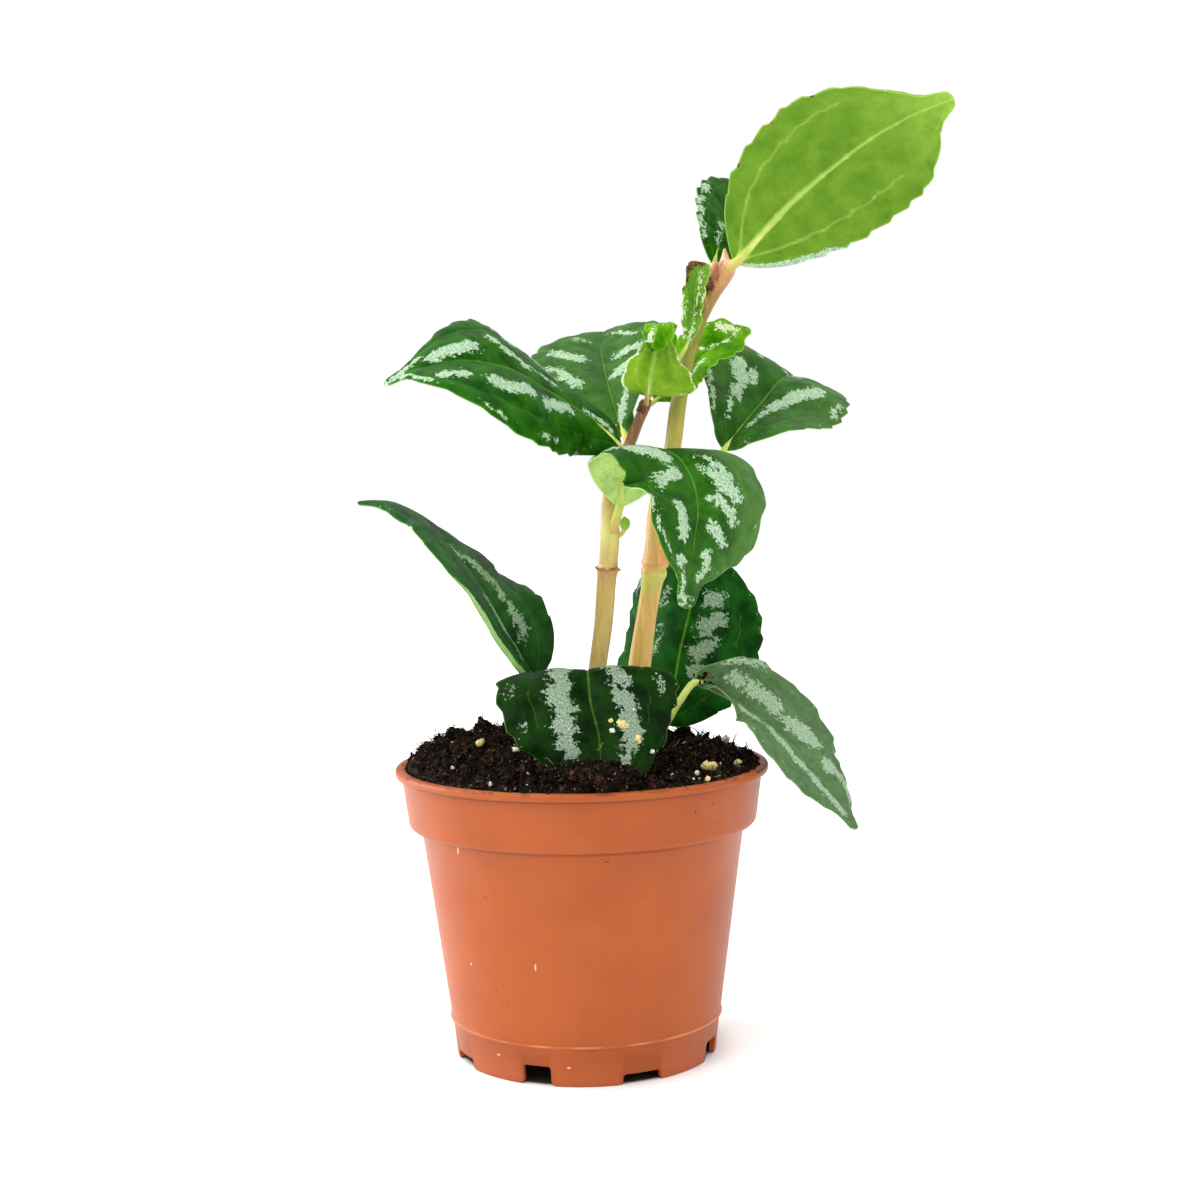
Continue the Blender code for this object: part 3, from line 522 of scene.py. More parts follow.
# Withered spots: (u, v) and radius in millimetres, on either side of the blade.
DRY = {
    "leaf_young_rolled": [(1, -.7, 2.4), (.9, -.95, 2.2), (.78, -1, 1.5), (.99, .2, 1.4), (.66, -1, .7)],
    "leaf_young_back": [(1, 0, .8)],
    "leaf_young_front": [(1, 0, .7)],
    "leaf_lower_back": [(.63, .98, 1), (.6, 1, .7), (.25, -1, .6)],
    "leaf_lower_right": [(.1, -.45, .7), (.14, -.42, .5), (.05, -.5, .6)],
    "leaf_right": [(.93, -.2, .5)],
    "leaf_top": [(.13, -.6, .35), (.27, 1, .4), (.36, 1, .4), (.45, 1, .5), (.54, 1, .4), (.63, 1, .5),
                 (.28, -1, .4), (.46, -1, .4)],
    "leaf_upper_left": [(.97, .9, .5)],
}
print("silver marks:", sum(len(marks) for marks in MARKS.values()))

# %% [markdown]
# ## One leaf as a closed shell
# The sheet is bent as in the CAD solid, then given what a real blade has: sunken veins above with ribs
# below, and soft quilting between the side veins. An upper and a lower skin and a rounded margin close it.
# A displacement texture could do the relief, but worked into the points it also exists in the mesh.

# %% Outline, veins and relief
TEETH_FROM, TEETH_TO, TOOTH_PEAK = 0.17, 0.90, 0.72
TOOTH_DEPTH, SMALL_TOOTH_SHARE, SMALL_WIDTH = 1.1, 0.13, 15
SMOOTHING = 0.045  # share of the length over which a leaf's heading is averaged
NOWHERE = -9.0  # millimetres: far outside every mark


def outline_share(outline, u, teeth, depth):
    """Half width as a share of the widest: a smooth outline plus a slanted wave for the teeth."""
    curve, _ = smooth_curve(outline)
    share = np.interp(u, curve[:, 0], curve[:, 1])
    turn = (u - TEETH_FROM) / (TEETH_TO - TEETH_FROM) * teeth
    part = np.mod(turn + 1e-6, 1.0)
    rise = np.where(part < TOOTH_PEAK, part / TOOTH_PEAK, (1 - part) / (1 - TOOTH_PEAK))
    inside = (turn > 0) & (turn < teeth)
    return share + np.where(inside, depth * (rise - 0.5), 0)


def frame_along(leaf, curve, far, distance, u):
    """Middle, side and upper directions: heading is averaged over a stretch, face is squared to it."""
    step = SMOOTHING * far[-1]
    heading = unit(at_distance(curve, far, np.minimum(distance + step, far[-1]))
                   - at_distance(curve, far, np.maximum(distance - step, 0)))
    face = along(leaf["face"], u)
    face = unit(face - (face * heading).sum(axis=1, keepdims=True) * heading)
    return at_distance(curve, far, distance), np.cross(heading, face), face


def lateral_vein(u):
    """Share of the half width where the long side vein runs: it leaves the base fast and then keeps out. It
    never is quite zero, because other values are divided by it."""
    return np.maximum(0.62 * (1 - np.exp(-u / 0.09)) + 0.08 * u, 1e-3)


def vein_lines(u, v, half, length, wide, count=9):
    """Strength of midrib, long veins and side veins, each a bell round its line in millimetres."""
    far_out, lateral = np.abs(v), lateral_vein(u)
    midrib = bell(v * half, 0, wide * (0.55 - 0.3 * u))
    long_vein = bell((far_out - lateral) * half, 0, 0.4 * wide) * ramp(u, 0.92, 0.62)
    turn = (u - 0.11 * far_out / np.maximum(lateral, 0.1)) * count + 0.25 * (far_out > lateral)
    side = bell((turn - np.round(turn)) / count * length, 0, 0.4)
    return midrib, long_vein, side * ramp(u, 0, 0.15) * ramp(u, 0.97, 0.87), turn


def stroke_field(strokes, u, v, half, length):
    """Millimetres inside the nearest stroke, negative outside: its half width less the distance to it."""
    field = np.full(u.shape, NOWHERE)
    x, y = u * length, v * half
    for u0, v0, u1, v1, reach in strokes:
        ax, bx = u0 * length, u1 * length
        ay, by = v0 * half, v1 * half
        span = np.maximum((bx - ax) ** 2 + (by - ay) ** 2, 1e-6)
        share = np.clip(((x - ax) * (bx - ax) + (y - ay) * (by - ay)) / span, 0, 1)
        away = np.hypot(x - ax - share * (bx - ax), y - ay - share * (by - ay))
        field = np.maximum(field, reach - away)
    return field


def ripple(x, y, size, seed, waves=14):
    """Smooth random relief from -1 to 1: a sum of waves in random directions, about size long each."""
    chance = np.random.default_rng(seed)
    total = np.zeros(np.broadcast(x, y).shape)
    angles, phases = chance.uniform(0, 2 * np.pi, waves), chance.uniform(0, 2 * np.pi, waves)
    for angle, phase, stretch in zip(angles, phases, chance.uniform(0.7, 1.6, waves)):
        total += np.sin((x * math.cos(angle) + y * math.sin(angle)) * 2 * np.pi / (size * stretch) + phase)
    return total / math.sqrt(waves)


print("long side vein at a tenth of the blade:", lateral_vein(np.array([0.1])).round(2))

# %% [markdown]
# The bent sheet comes first. Each half of the blade is an arc: with the fold angle F and the curl angle C it
# runs out by (sin F - sin(F - C)) / C and rises by (cos(F - C) - cos F) / C, both times the half width.

# %% The bent sheet
def leaf_line(leaf):
    """The curve through a leaf's stalk and midrib, the distance along it and where the blade starts."""
    curve, far = smooth_curve(leaf["stalk"] + leaf["midrib"])
    return curve, far, distance_of(leaf["midrib"][0], curve, far)


def leaf_middle(leaf, rows, columns):
    """The bent sheet without thickness: each half is an arc that leaves the midrib at the fold angle."""
    curve, far, base = leaf_line(leaf)
    u = np.linspace(0, 1, rows)
    v = np.linspace(-1, 1, columns)
    middle, side, face = frame_along(leaf, curve, far, base + u * (far[-1] - base), u)
    widest = leaf["width"] / 2
    depth = TOOTH_DEPTH / widest if leaf["width"] > SMALL_WIDTH else SMALL_TOOTH_SHARE
    half = outline_share(leaf.get("outline", OUTLINE), u, leaf["teeth"], depth) * widest
    half = np.maximum(half, leaf.get("stalk_half", 1.0) * (1 - 0.6 * u))
    opening = ramp(u, 0, 0.05) * ramp(u, 1.01, 0.92)

    def sided(key):
        """Fold or curl in radians at every point, from the values of its own half."""
        left, right = (np.radians(along(leaf[key + hand], u)) * opening for hand in ("_left", "_right"))
        return np.where(v[None] > 0, right[:, None], left[:, None])

    reach = half[:, None] * np.where(v > 0, leaf.get("right_share", 1.0), 1.0)[None]
    fold, curl = sided("fold"), sided("curl")
    curl = np.where(np.abs(curl) < 1e-3, 1e-3, curl)
    out = reach * (np.sin(fold) - np.sin(fold - curl * np.abs(v))) / curl
    rise = reach * (np.cos(fold - curl * np.abs(v)) - np.cos(fold)) / curl
    points = middle[:, None] + side[:, None] * (out * np.sign(v))[..., None] + face[:, None] * rise[..., None]
    return points, u, v, reach, far[-1] - base


def grid_normals(points):
    """Upper-side directions: across the sheet crossed with along it."""
    return unit(np.cross(np.gradient(points, axis=1), np.gradient(points, axis=0)))


print("blade of the top leaf:", round(float(leaf_middle(LEAVES["leaf_top"], 50, 9)[4]), 1), "mm long")

# %% [markdown]
# Some margins turn over, so that the other side shows, and some blades have a pale bloom that hides their
# green, partly the blade's own bloom and partly painted sheen. Both are small tables by leaf, and both are
# worked out at every point of the sheet.

# %% Turned margins, bloom with painted sheen, and quilting
# Width in millimetres at the left and right margin and where along the blade it ends: the first table is
# for the underside, the second for the upper side.
HEM_BELOW = {"leaf_top": (1.7, 0, 0.36), "leaf_young_front": (0.1, 0.5, 0.5)}
HEM_ABOVE = {"leaf_left": (2.6, 0, 0.5)}
NO_HEM = (0, 0, 0)
# Share of bloom and painted sheen up to the middle of the blade and at its tip, then what is added near
# each margin, which on the front leaf is a painted highlight.
BLOOM_AND_SHEEN = {"leaf_lower_right": (0.4, 0.42), "leaf_young_rolled": (0.3, 0.5), "leaf_right": (0.1, 0.3),
         "leaf_upper_back": (0.2, 0.2), "leaf_left": (0.1, 0.1), "leaf_top": (0.0, 0.75),
         "leaf_front": (0.05, 0.15)}
SIDE_BLOOM_AND_SHEEN = {"leaf_front": (0.45, 0.0), "leaf_right": (0.1, 0.25)}


def turned_margin(hems, name, u, v, half):
    """Millimetres inside the turned margin, negative outside."""
    left, right, end = hems.get(name, NO_HEM)
    width = np.where(v < 0, left, right) * ramp(u, end, end - 0.12)
    return np.where(width > 0, width, NOWHERE) - (1 - np.abs(v)) * half


def bloom_share(name, u, v):
    """How much of the green the bloom and painted sheen hide: they grow to the tip and towards some margins."""
    low, high = BLOOM_AND_SHEEN.get(name, (0.0, 0.0))
    left, right = SIDE_BLOOM_AND_SHEEN.get(name, (0.0, 0.0))
    near_margin = np.where(v < 0, left, right) * ramp(np.abs(v), 0.3125, 0.9375) * np.sin(np.pi * u)
    return low + (high - low) * ramp(u, 0.55, 1) ** 1.5 + near_margin


def quilting(u, v, half, length, turn, silver, size, wavy, seed):
    """Soft relief in millimetres: humps between the veins, raised marks, and waves near a wavy margin."""
    far_out, lateral = np.abs(v), lateral_vein(u)
    share = np.where(far_out < lateral, far_out / lateral, (far_out - lateral) / (1.001 - lateral))
    hump = np.sin(np.pi * np.clip(share, 0, 1)) * (0.55 + 0.45 * np.abs(np.sin(np.pi * turn)))
    quilt = (0.33 * hump + 0.16 * ramp(silver, 0, 1.5) + 0.12 * ripple(u * length, v * half, 9, seed)) * size
    quilt += wavy * v ** 2 * ripple(u * length + 20 * np.sign(v), 0 * v, 3.4, seed)
    return quilt * ramp(u, 0, 0.12) * ramp(u, 1, 0.9)


print("leaves with bloom:", sorted({*BLOOM_AND_SHEEN, *SIDE_BLOOM_AND_SHEEN}))

# %% [markdown]
# The shell is made of two copies of the sheet. The relief moves the middle, and each skin then lies half the
# thickness away from it, the veins a little deeper above and further out below. One more row of points round
# the margin rounds it off.

# %% The leaf's skins
BLADE, MARGIN, ROUNDING = 0.62, 0.34, 0.14


def leaf_shell(name, leaf, rows, columns):
    """Points, faces and values of a closed blade."""
    points, u, v, half, length = leaf_middle(leaf, rows, columns)
    u, v = np.meshgrid(u, v, indexing="ij")
    seed = len(name) * 7 + leaf["teeth"]
    size = min(1.0, leaf["width"] / 40)
    midrib, long_vein, side_vein, turn = vein_lines(u, v, half, length, leaf.get("rib", 1.0))
    silver = stroke_field(MARKS.get(name, []), u, v, half, length)
    dry = stroke_field([(a, b, a, b, r) for a, b, r in DRY.get(name, [])], u, v, half, length)
    above, below = (turned_margin(hems, name, u, v, half).ravel() for hems in (HEM_ABOVE, HEM_BELOW))
    quilt = quilting(u, v, half, length, turn, silver, size, leaf.get("wavy", 0.0), seed)
    middle = points + grid_normals(points) * quilt[..., None]
    normal = grid_normals(middle)
    thick = (MARGIN + (BLADE - MARGIN) * (1 - np.abs(v) ** 5)) * (0.6 + 0.4 * size)
    groove = (0.22 * midrib + 0.12 * long_vein + 0.07 * side_vein) * size
    rib = (0.75 * midrib * (1 - 0.8 * u) + 0.22 * long_vein + 0.1 * side_vein) * size
    upper = middle + normal * (thick / 2 - groove)[..., None]
    lower = middle - normal * (thick / 2 + rib - 0.6 * groove)[..., None]
    number, count = grid_numbers(rows, columns), rows * columns
    ring, inner = grid_border(number), grid_border(number, 1)
    flat = middle.reshape(-1, 3)
    rim = flat[ring] + unit(flat[ring] - flat[inner]) * ROUNDING
    rim_number = 2 * count + np.arange(len(ring))
    faces = [grid_faces(rows, columns), grid_faces(rows, columns, count)[:, ::-1],
             wall_faces(ring, rim_number), wall_faces(rim_number, ring + count)]

    def both(values):
        """The same value on both skins and on the rounded margin."""
        return np.concatenate([values.ravel(), values.ravel(), values.ravel()[ring]])

    vein = np.clip(midrib * (1.1 - 0.5 * u) + 0.55 * long_vein + 0.22 * side_vein, 0, 1)
    values = {"place": np.stack([both(v * half), both(u * length), both(0 * u + seed)], -1),
              "silver": both(silver), "vein": both(vein), "dry": both(dry),
              "bloom": both(bloom_share(name, u, v)),
              "edge": both(np.minimum((1 - np.abs(v)) * half, (1 - u) * length)), "stalk": both(0 * u),
              "under": np.repeat([0, 1, 0.5], [count, count, len(ring)]),
              "hem": np.concatenate([above, below, below[ring]])}
    return np.concatenate([upper.reshape(-1, 3), lower.reshape(-1, 3), rim]), faces, values


print("blade is", BLADE, "mm thick in the middle and", MARGIN, "mm at the margin")

# %% [markdown]
# ## The stems' forms
# A stem is a tube of changing thickness. Each row of its grid is a ring square to the path, and the path's
# own direction turns the rings, so they never twist. The stalks of the leaves are the same kind of tube.

# %% Stem table and tube
STEMS = {
    "stem_tall": [((12.5, 2, 70), 3.0), ((14.5, 2, 92), 3.2), ((17, 2, 110), 3.1), ((19, 2, 123), 2.8),
                  ((20.5, 2, 131), 2.9), ((21.5, 2, 137), 3.7), ((22, 2, 143), 3.0), ((22.8, 2, 154), 2.5),
                  ((26.8, 2, 168.5), 2.35), ((29, 2, 183), 2.2), ((31.7, 2, 195), 1.95),
                  ((35, 2, 204.5), 1.65), ((37.1, 2, 209), 1.85), ((38.7, 2, 213), 2.7),
                  ((40.3, 2, 216), 3.15), ((41.9, 2, 218.8), 3.4), ((42.5, 2, 220.4), 3.0),
                  ((42.4, 2, 221.3), 1.4), ((42.3, 2, 224.6), .25)],
    "stem_short": [((-.3, -4, 70), 2.5), ((2, -4, 90), 2.5), ((4.9, -4, 109), 2.5), ((6.8, -4, 122), 2.5),
                   ((7.9, -4, 134), 2.7), ((8.2, -4, 136.5), 3.0), ((8.5, -4, 139), 2.6), ((9, -4, 147), 2.6),
                   ((9, -3.2, 155), 2.1), ((10.8, -1.8, 163.5), 1.8), ((14.9, -1.3, 171), 1.5),
                   ((17.6, -1.3, 177.5), 1.45), ((19.4, -1.6, 181.4), 1.55), ((20.3, -1.9, 183.4), 1.0)],
}
STEM_SLOTS = {"stem_tall": "tall_stem_skin", "stem_short": "short_stem_skin"}
PATH_STEPS, STEM_ROWS, STEM_SIDES = 600, 420, 64


def ring_axes(places):
    """Two directions across a path at each point, squared to it and turned as little as can be."""
    heading = unit(np.gradient(places, axis=0))
    first = unit(np.cross(heading, [0.0, 1.0, 0.0]))
    return first, unit(np.cross(heading, first))


def tube(places, radii, around, relief=None):
    """Rings about a path: place plus radius times cosine and sine of the two cross directions."""
    first, second = ring_axes(places)
    angle = np.linspace(0, 2 * np.pi, around, endpoint=False)
    radius = np.asarray(radii, float)[:, None] * np.ones(around)[None]
    if relief is not None:
        radius = radius + relief(np.linspace(0, 1, len(places))[:, None], angle[None])
    points = places[:, None] + radius[..., None] * (np.cos(angle)[None, :, None] * first[:, None]
                                                    + np.sin(angle)[None, :, None] * second[:, None])
    ends = points[[0, -1]].mean(axis=1)
    return np.concatenate([points.reshape(-1, 3), ends]), ring_faces(len(places), around)


def stem_path(name, rows):
    """Evenly spaced places along a stem with the radius at each."""
    table = np.array([(*place, radius) for place, radius in STEMS[name]], float)
    curve, far = smooth_curve(table[:, :3])
    knots = [distance_of(place, curve, far) for place in table[:, :3]]
    distance = np.linspace(0, far[-1], rows)
    return at_distance(curve, far, distance), np.interp(distance, knots, table[:, 3]), distance


print("stem lengths in mm:", {name: round(float(stem_path(name, 50)[2][-1]), 1) for name in STEMS})

# %% [markdown]
# ## Leaf finishes
# A blade's colour changes with its age and with the side that is seen. The shader reads the values that came
# with the points: it lays the pale veins over the green, then the silver, whose soft edge is broken up by
# fine noise into the frosty fringe of the real marks, and last the paler underside.

# %% Leaf finish
def silver_mask(f, place, cloud, torn, fray):
    """Where the blade is silver: the strokes, with frayed edges and holes, and specks near the margin."""
    frost = f.value("silver")
    for turns, detail, reach in ((0.28, 2, 4.5), (0.8, 6, 7.5), (2.6, 4, 2.6)):
        frost = f.plus(frost, f.sway(f.noise(place, turns, detail, 0.7), reach * fray))
    holes = f.band(f.noise(place, 2.2, 6, 0.8), 0.47, 0.6, 1, 1 - torn)
    specks = f.times(f.band(f.spots(place, 0.55), 0.1, 0.2, 1, 0), f.band(f.value("edge"), 0.6, 5.0, 1, 0))
    specks = f.times(specks, f.band(cloud, 0.45, 0.55))
    return f.maths("MAXIMUM", f.times(f.band(frost, -0.1, 0.25), holes), specks)


def leaf_finish(name, *colours, gloss=0.32, level=0.03, mottle=0.22, torn=0.35, fray=1.0, ribs=0.85):
    """Green from deep to light, veins, frosted silver, pale specks near the margin and a paler underside.
    The colours are deep, light, vein, silver, frosted, underside, rib and haze, for bloom and painted sheen."""
    deep, light, vein, silver, frosted, under, rib, haze_and_sheen = (card(*colour) for colour in colours)
    f = Finish(name, Roughness=gloss, IOR=1.4, Specular_IOR_Level=level)
    place, edge = f.vector("place"), f.value("edge")
    cloud = f.noise(place, 0.16, 3, 0.6)
    fine = f.noise(place, 1.6, 5, 0.65)
    # This value is partly the blade's own bloom and partly painted sheen, laid on in the haze colour.
    bloom = f.times(f.value("bloom"), f.band(f.noise(place, 0.35, 4, 0.6), 0.3, 0.65, 0.6, 1.1))
    lines = f.band(f.value("vein"), 0.25, 0.95)
    mask = silver_mask(f, place, cloud, torn, fray)
    frosting = f.over(f.band(fine, 0.4, 0.6), silver, frosted)
    hem = f.band(f.plus(f.value("hem"), f.sway(fine, 3.0)), -0.1, 0.2)
    above = f.coats(deep, (f.band(cloud, 0.3, 0.7), light), (f.band(fine, 0.35, 0.75, 0, 0.3), light),
                    (bloom, haze_and_sheen), (f.times(lines, 0.6), vein), (mask, frosting),
                    (f.band(edge, 0.05, 0.3, 0.45, 0), vein), (hem, under))
    below = f.coats(under, (f.band(cloud, 0.3, 0.75, 0, mottle), deep),
                    (f.band(f.noise(place, 0.8, 5, 0.7), 0.45, 0.7, 0, mottle), light),
                    (f.times(bloom, 0.8), haze_and_sheen), (f.times(lines, ribs), rib),
                    (f.band(edge, 0.1, 0.45, 0.4, 0), rib), (hem, frosting))
    stalk = f.coats(card(206, 218, 124),
                    (f.band(f.noise(place, 0.35, 3, 0.5), 0.35, 0.7), card(176, 200, 84)),
                    (f.maths("SUBTRACT", f.value("stalk"), 1.0), card(206, 176, 104)))
    browns = f.over(f.band(f.noise(place, 1.2, 4, 0.7), 0.4, 0.6), card(52, 36, 22), card(120, 88, 52))
    withered = f.band(f.plus(f.value("dry"), f.sway(fine, 2.5)), -0.2, 0.4)
    colour = f.coats(above, (f.band(f.value("under"), 0.4, 0.6), below), (f.value("stalk"), stalk),
                     (withered, browns))
    relief = f.plus(f.noise(place, 3.2, 4, 0.6), f.times(mask, 0.8))
    rough = f.plus(f.times(mask, 0.16), gloss)
    return f.finish(Base_Color=colour, Roughness=rough, Normal=f.bump(relief, 0.00012, 0.5))


SILVER, FROSTED = (140, 172, 134), (184, 208, 180)
LEAF_FINISHES = {
    "silver_marked_leaf": leaf_finish(
        "silver marked leaf", (7, 58, 0), (40, 98, 14), (104, 158, 52), SILVER, FROSTED, (200, 232, 140),
        (226, 242, 178), (112, 146, 90), mottle=0.32),
    "old_leaf": leaf_finish(
        "old leaf", (0, 20, 0), (16, 52, 6), (84, 130, 40), (124, 146, 122), (160, 178, 158), (130, 164, 100),
        (170, 196, 136), (118, 148, 102), gloss=0.38, level=0.07, torn=0.7, fray=1.3),
    "leaf_lower_right": leaf_finish(
        "weathered leaf", (18, 60, 10), (48, 92, 32), (140, 172, 112), (132, 160, 130), (172, 194, 168),
        (130, 164, 100), (170, 196, 136), (118, 146, 106), gloss=0.38, level=0.06, torn=0.55, fray=1.25),
    "leaf_left": leaf_finish(
        "twisted leaf", (2, 40, 4), (26, 84, 20), (104, 158, 52), (122, 146, 120), (156, 178, 154),
        (150, 190, 118), (184, 210, 150), (104, 138, 100), gloss=0.38, level=0.04, torn=0.6, fray=1.3),
    "young_leaf": leaf_finish(
        "young leaf", (34, 108, 2), (106, 166, 18), (172, 206, 80), (196, 220, 160), (222, 236, 200),
        (132, 170, 44), (190, 214, 116), (112, 140, 70), mottle=0.6, ribs=0.35),
    "pale_underside_leaf": leaf_finish(
        "top leaf", (20, 86, 6), (86, 140, 20), (178, 208, 100), SILVER, FROSTED, (112, 152, 46),
        (176, 206, 100), (160, 204, 78), mottle=0.42),
}
LEAF_FINISHES["leaf_lower_back"] = LEAF_FINISHES["leaf_left"]
print("leaf finishes:", sorted(LEAF_FINISHES))

# %% [markdown]
# ## Building the leaves
# Each leaf is one piece: its blade and its stalk. The stalk starts inside the stem's skin and dives under
# the midrib, so no seam shows. The piece stands for the CAD node of the same name.

# %% Leaves
BIG_GRID, SMALL_GRID, TINY_GRID = (150, 61), (90, 37), (24, 9)
STALK_SHARE = 0.22
OLD_LEAVES = ("leaf_lower_back", "leaf_lower_right", "leaf_front_low", "leaf_left")


def leaf_slot(name):
    """The finish slot of a leaf, by its age."""
    if name == "leaf_top":
        return "pale_underside_leaf"
    if "young" in name or name == "leaf_axil":
        return "young_leaf"
    return "old_leaf" if name in OLD_LEAVES else "silver_marked_leaf"


def stalk_tube(leaf, rows=40, around=20):
    """A tube from inside the stem to under the midrib, thinning and sinking below the blade, and how near
    each point is to the stem."""
    curve, far, base = leaf_line(leaf)
    half, flare = leaf.get("stalk_half", 1.0), leaf.get("stalk_flare", 0.15)
    end = base + STALK_SHARE * (far[-1] - base)
    places, radii, _ = stem_path("stem_" + leaf["stem"], PATH_STEPS)
    trial = np.linspace(0, base, 200)
    near = np.linalg.norm(at_distance(curve, far, trial)[:, None] - places[None], axis=2) - radii[None]
    inside = trial[near.min(axis=1) < -half * (1 + flare)]
    start = inside.max() if len(inside) else 0.0
    distance = np.linspace(start, end, rows)
    share = ramp(distance, base, end)
    middle, _, face = frame_along(leaf, curve, far, distance, share * STALK_SHARE)
    middle = middle - face * (0.25 + 0.25 * share)[:, None] * half
    radius = half * (1.02 - 0.78 * share) * (1 + flare * np.exp(-(distance - start) / 7))
    points, faces = tube(middle, radius, around)
    root = bell(distance, start, 5)
    return points, faces, np.concatenate([np.repeat(root, around), root[[0, -1]]])


for name, leaf in LEAVES.items():
    rows, columns = BIG_GRID if leaf["width"] > 30 else TINY_GRID if name == "leaf_axil" else SMALL_GRID
    points, faces, values = leaf_shell(name, leaf, rows, columns)
    if name == "leaf_axil":
        values["under"][:] = 1  # the tiny leaf is pale on both sides
    stalk, stalk_faces, root = stalk_tube(leaf)
    fill = {"place": stalk, "silver": NOWHERE, "vein": 0, "dry": NOWHERE, "bloom": 0, "edge": 5,
            "stalk": 1 + root, "under": 1, "hem": NOWHERE}
    values = {key: np.concatenate([old, np.broadcast_to(fill[key], (len(stalk), *old.shape[1:]))])
              for key, old in values.items()}
    slot = leaf_slot(name)
    faces += [f + len(points) for f in stalk_faces]
    add_piece(name + "_blade", np.concatenate([points, stalk]), faces,
              LEAF_FINISHES.get(name, LEAF_FINISHES[slot]), slot, (name,), values)

# %% [markdown]
# ## Stem finishes and stems
# The tall stem is tan and woody low down, green higher up and pinkish at its tip. The short one is pale
# straw with fine red-brown streaks. Height alone gives these bands, so the finish reads the object's Z and
# adds streaks that are drawn out along the stem.

# %% Stems
def stem_finish(name, heights, streak, streak_share):
    """A colour for each height, blended upwards, under fine streaks along the stem. Each row of heights is a
    height in millimetres and a colour-card value."""
    f = Finish(name, Roughness=0.42, IOR=1.45)
    height = f.plus(f.height(), f.sway(f.noise(f.where(), 260, 3, 0.6), 9.0))
    grain = f.streaks(1600, 1600, 90, 5, 0.7)
    burn = f.plus(f.value("burn"), f.sway(f.streaks(700, 700, 320, 5, 0.75), 1.6))
    bands = [(f.band(height, low[0], high[0]), card(*high[1:])) for low, high in zip(heights, heights[1:])]
    colour = f.coats(card(*heights[0][1:]), *bands, (f.band(grain, 0.52, 0.7, 0, streak_share), streak),
                     (f.band(f.streaks(900, 900, 60, 3, 0.6), 0.5, 0.75, 0, 0.35), card(232, 212, 150)),
                     (f.band(burn, 0.35, 0.6), card(146, 82, 50)),
                     (f.band(burn, 0.78, 0.9), card(66, 38, 22)))
    return f.finish(Base_Color=colour, Normal=f.bump(grain, 0.0002, 0.4))


STEM_FINISHES = {
    "stem_tall": stem_finish("tall stem skin", [
        (60, 192, 148, 70), (100, 208, 174, 84), (126, 206, 164, 84), (132, 178, 180, 78),
        (135, 196, 190, 92), (137, 208, 158, 94), (146, 206, 162, 88), (153, 205, 165, 80),
        (168, 184, 172, 76), (190, 140, 142, 44), (206, 138, 122, 48), (211, 160, 118, 56),
        (217, 190, 136, 80), (221, 226, 184, 150)],
        card(140, 84, 40), 0.45),
    "stem_short": stem_finish("short stem skin", [
        (60, 196, 166, 92), (112, 200, 172, 92), (130, 192, 162, 90), (135.4, 186, 146, 84),
        (136.6, 166, 112, 64), (138.2, 206, 176, 108), (146, 214, 206, 122), (158, 190, 152, 96),
        (168, 150, 108, 66), (180, 126, 84, 56)], card(132, 72, 40), 0.6),
}

for name in STEMS:
    places, radii, _ = stem_path(name, STEM_ROWS)
    tall = name == "stem_tall"

    def ridges(s, angle, shift=len(name), z=places[:, 2:3], tall=tall):
        """Lengthwise ribs, and at the node a ring: a crack on the tall stem, nubs on the short one."""
        ribs = (0.05 * np.sin(7 * angle + 3 * np.sin(9 * s + shift)) + 0.04 * np.sin(31 * s + 2 * angle)
                + 0.025 * np.sin(17 * angle + 20 * s))
        if tall:
            return ribs + 0.35 * bell(z, 134.6, 1.1) - 0.4 * bell(z, 136.3, 0.45) + 0.2 * bell(z, 137.4, 0.6)
        nubs = bell(angle, 0.15, 0.14) + bell(angle, 2 * math.pi, 0.14) + bell(angle, math.pi, 0.15)
        return ribs + (0.12 + 0.75 * nubs) * bell(z, 136.6, 0.4) - 0.15 * bell(z, 137.8, 0.5)

    points, faces = tube(places, radii, STEM_SIDES, ridges)
    centres = np.concatenate([np.repeat(places, STEM_SIDES, axis=0), places[[0, -1]]])
    left_side = np.clip(0.45 - (points - centres)[:, 0] / 2.6, 0, 1)
    burn = 0.75 * bell(points[:, 2], 217, 5.5) * left_side if tall else 0.5 * bell(points[:, 2], 136.6, 0.9)
    add_piece(name + "_skin", points, faces, STEM_FINISHES[name], STEM_SLOTS[name], (name,), {"burn": burn})

# %% [markdown]
# ## Sheaths and dry scales
# Where a leaf pair leaves the stem, a thin sheath wraps the node, and old ones dry up and curl off. Each is
# a small curved sheet round the stem: its two coordinates are the angle and the height. The skin of a sheet
# this thin shows on both sides, so it is closed with walls instead of being left as one open surface.

# %% Sheaths
def closed_sheet(outer, inner):
    """Two grids of points as one closed form, with walls between their borders."""
    rows, columns = outer.shape[:2]
    count = rows * columns
    ring = grid_border(grid_numbers(rows, columns))
    faces = [grid_faces(rows, columns), grid_faces(rows, columns, count)[:, ::-1],
             wall_faces(ring, ring + count)]
    return np.concatenate([outer.reshape(-1, 3), inner.reshape(-1, 3)]), faces


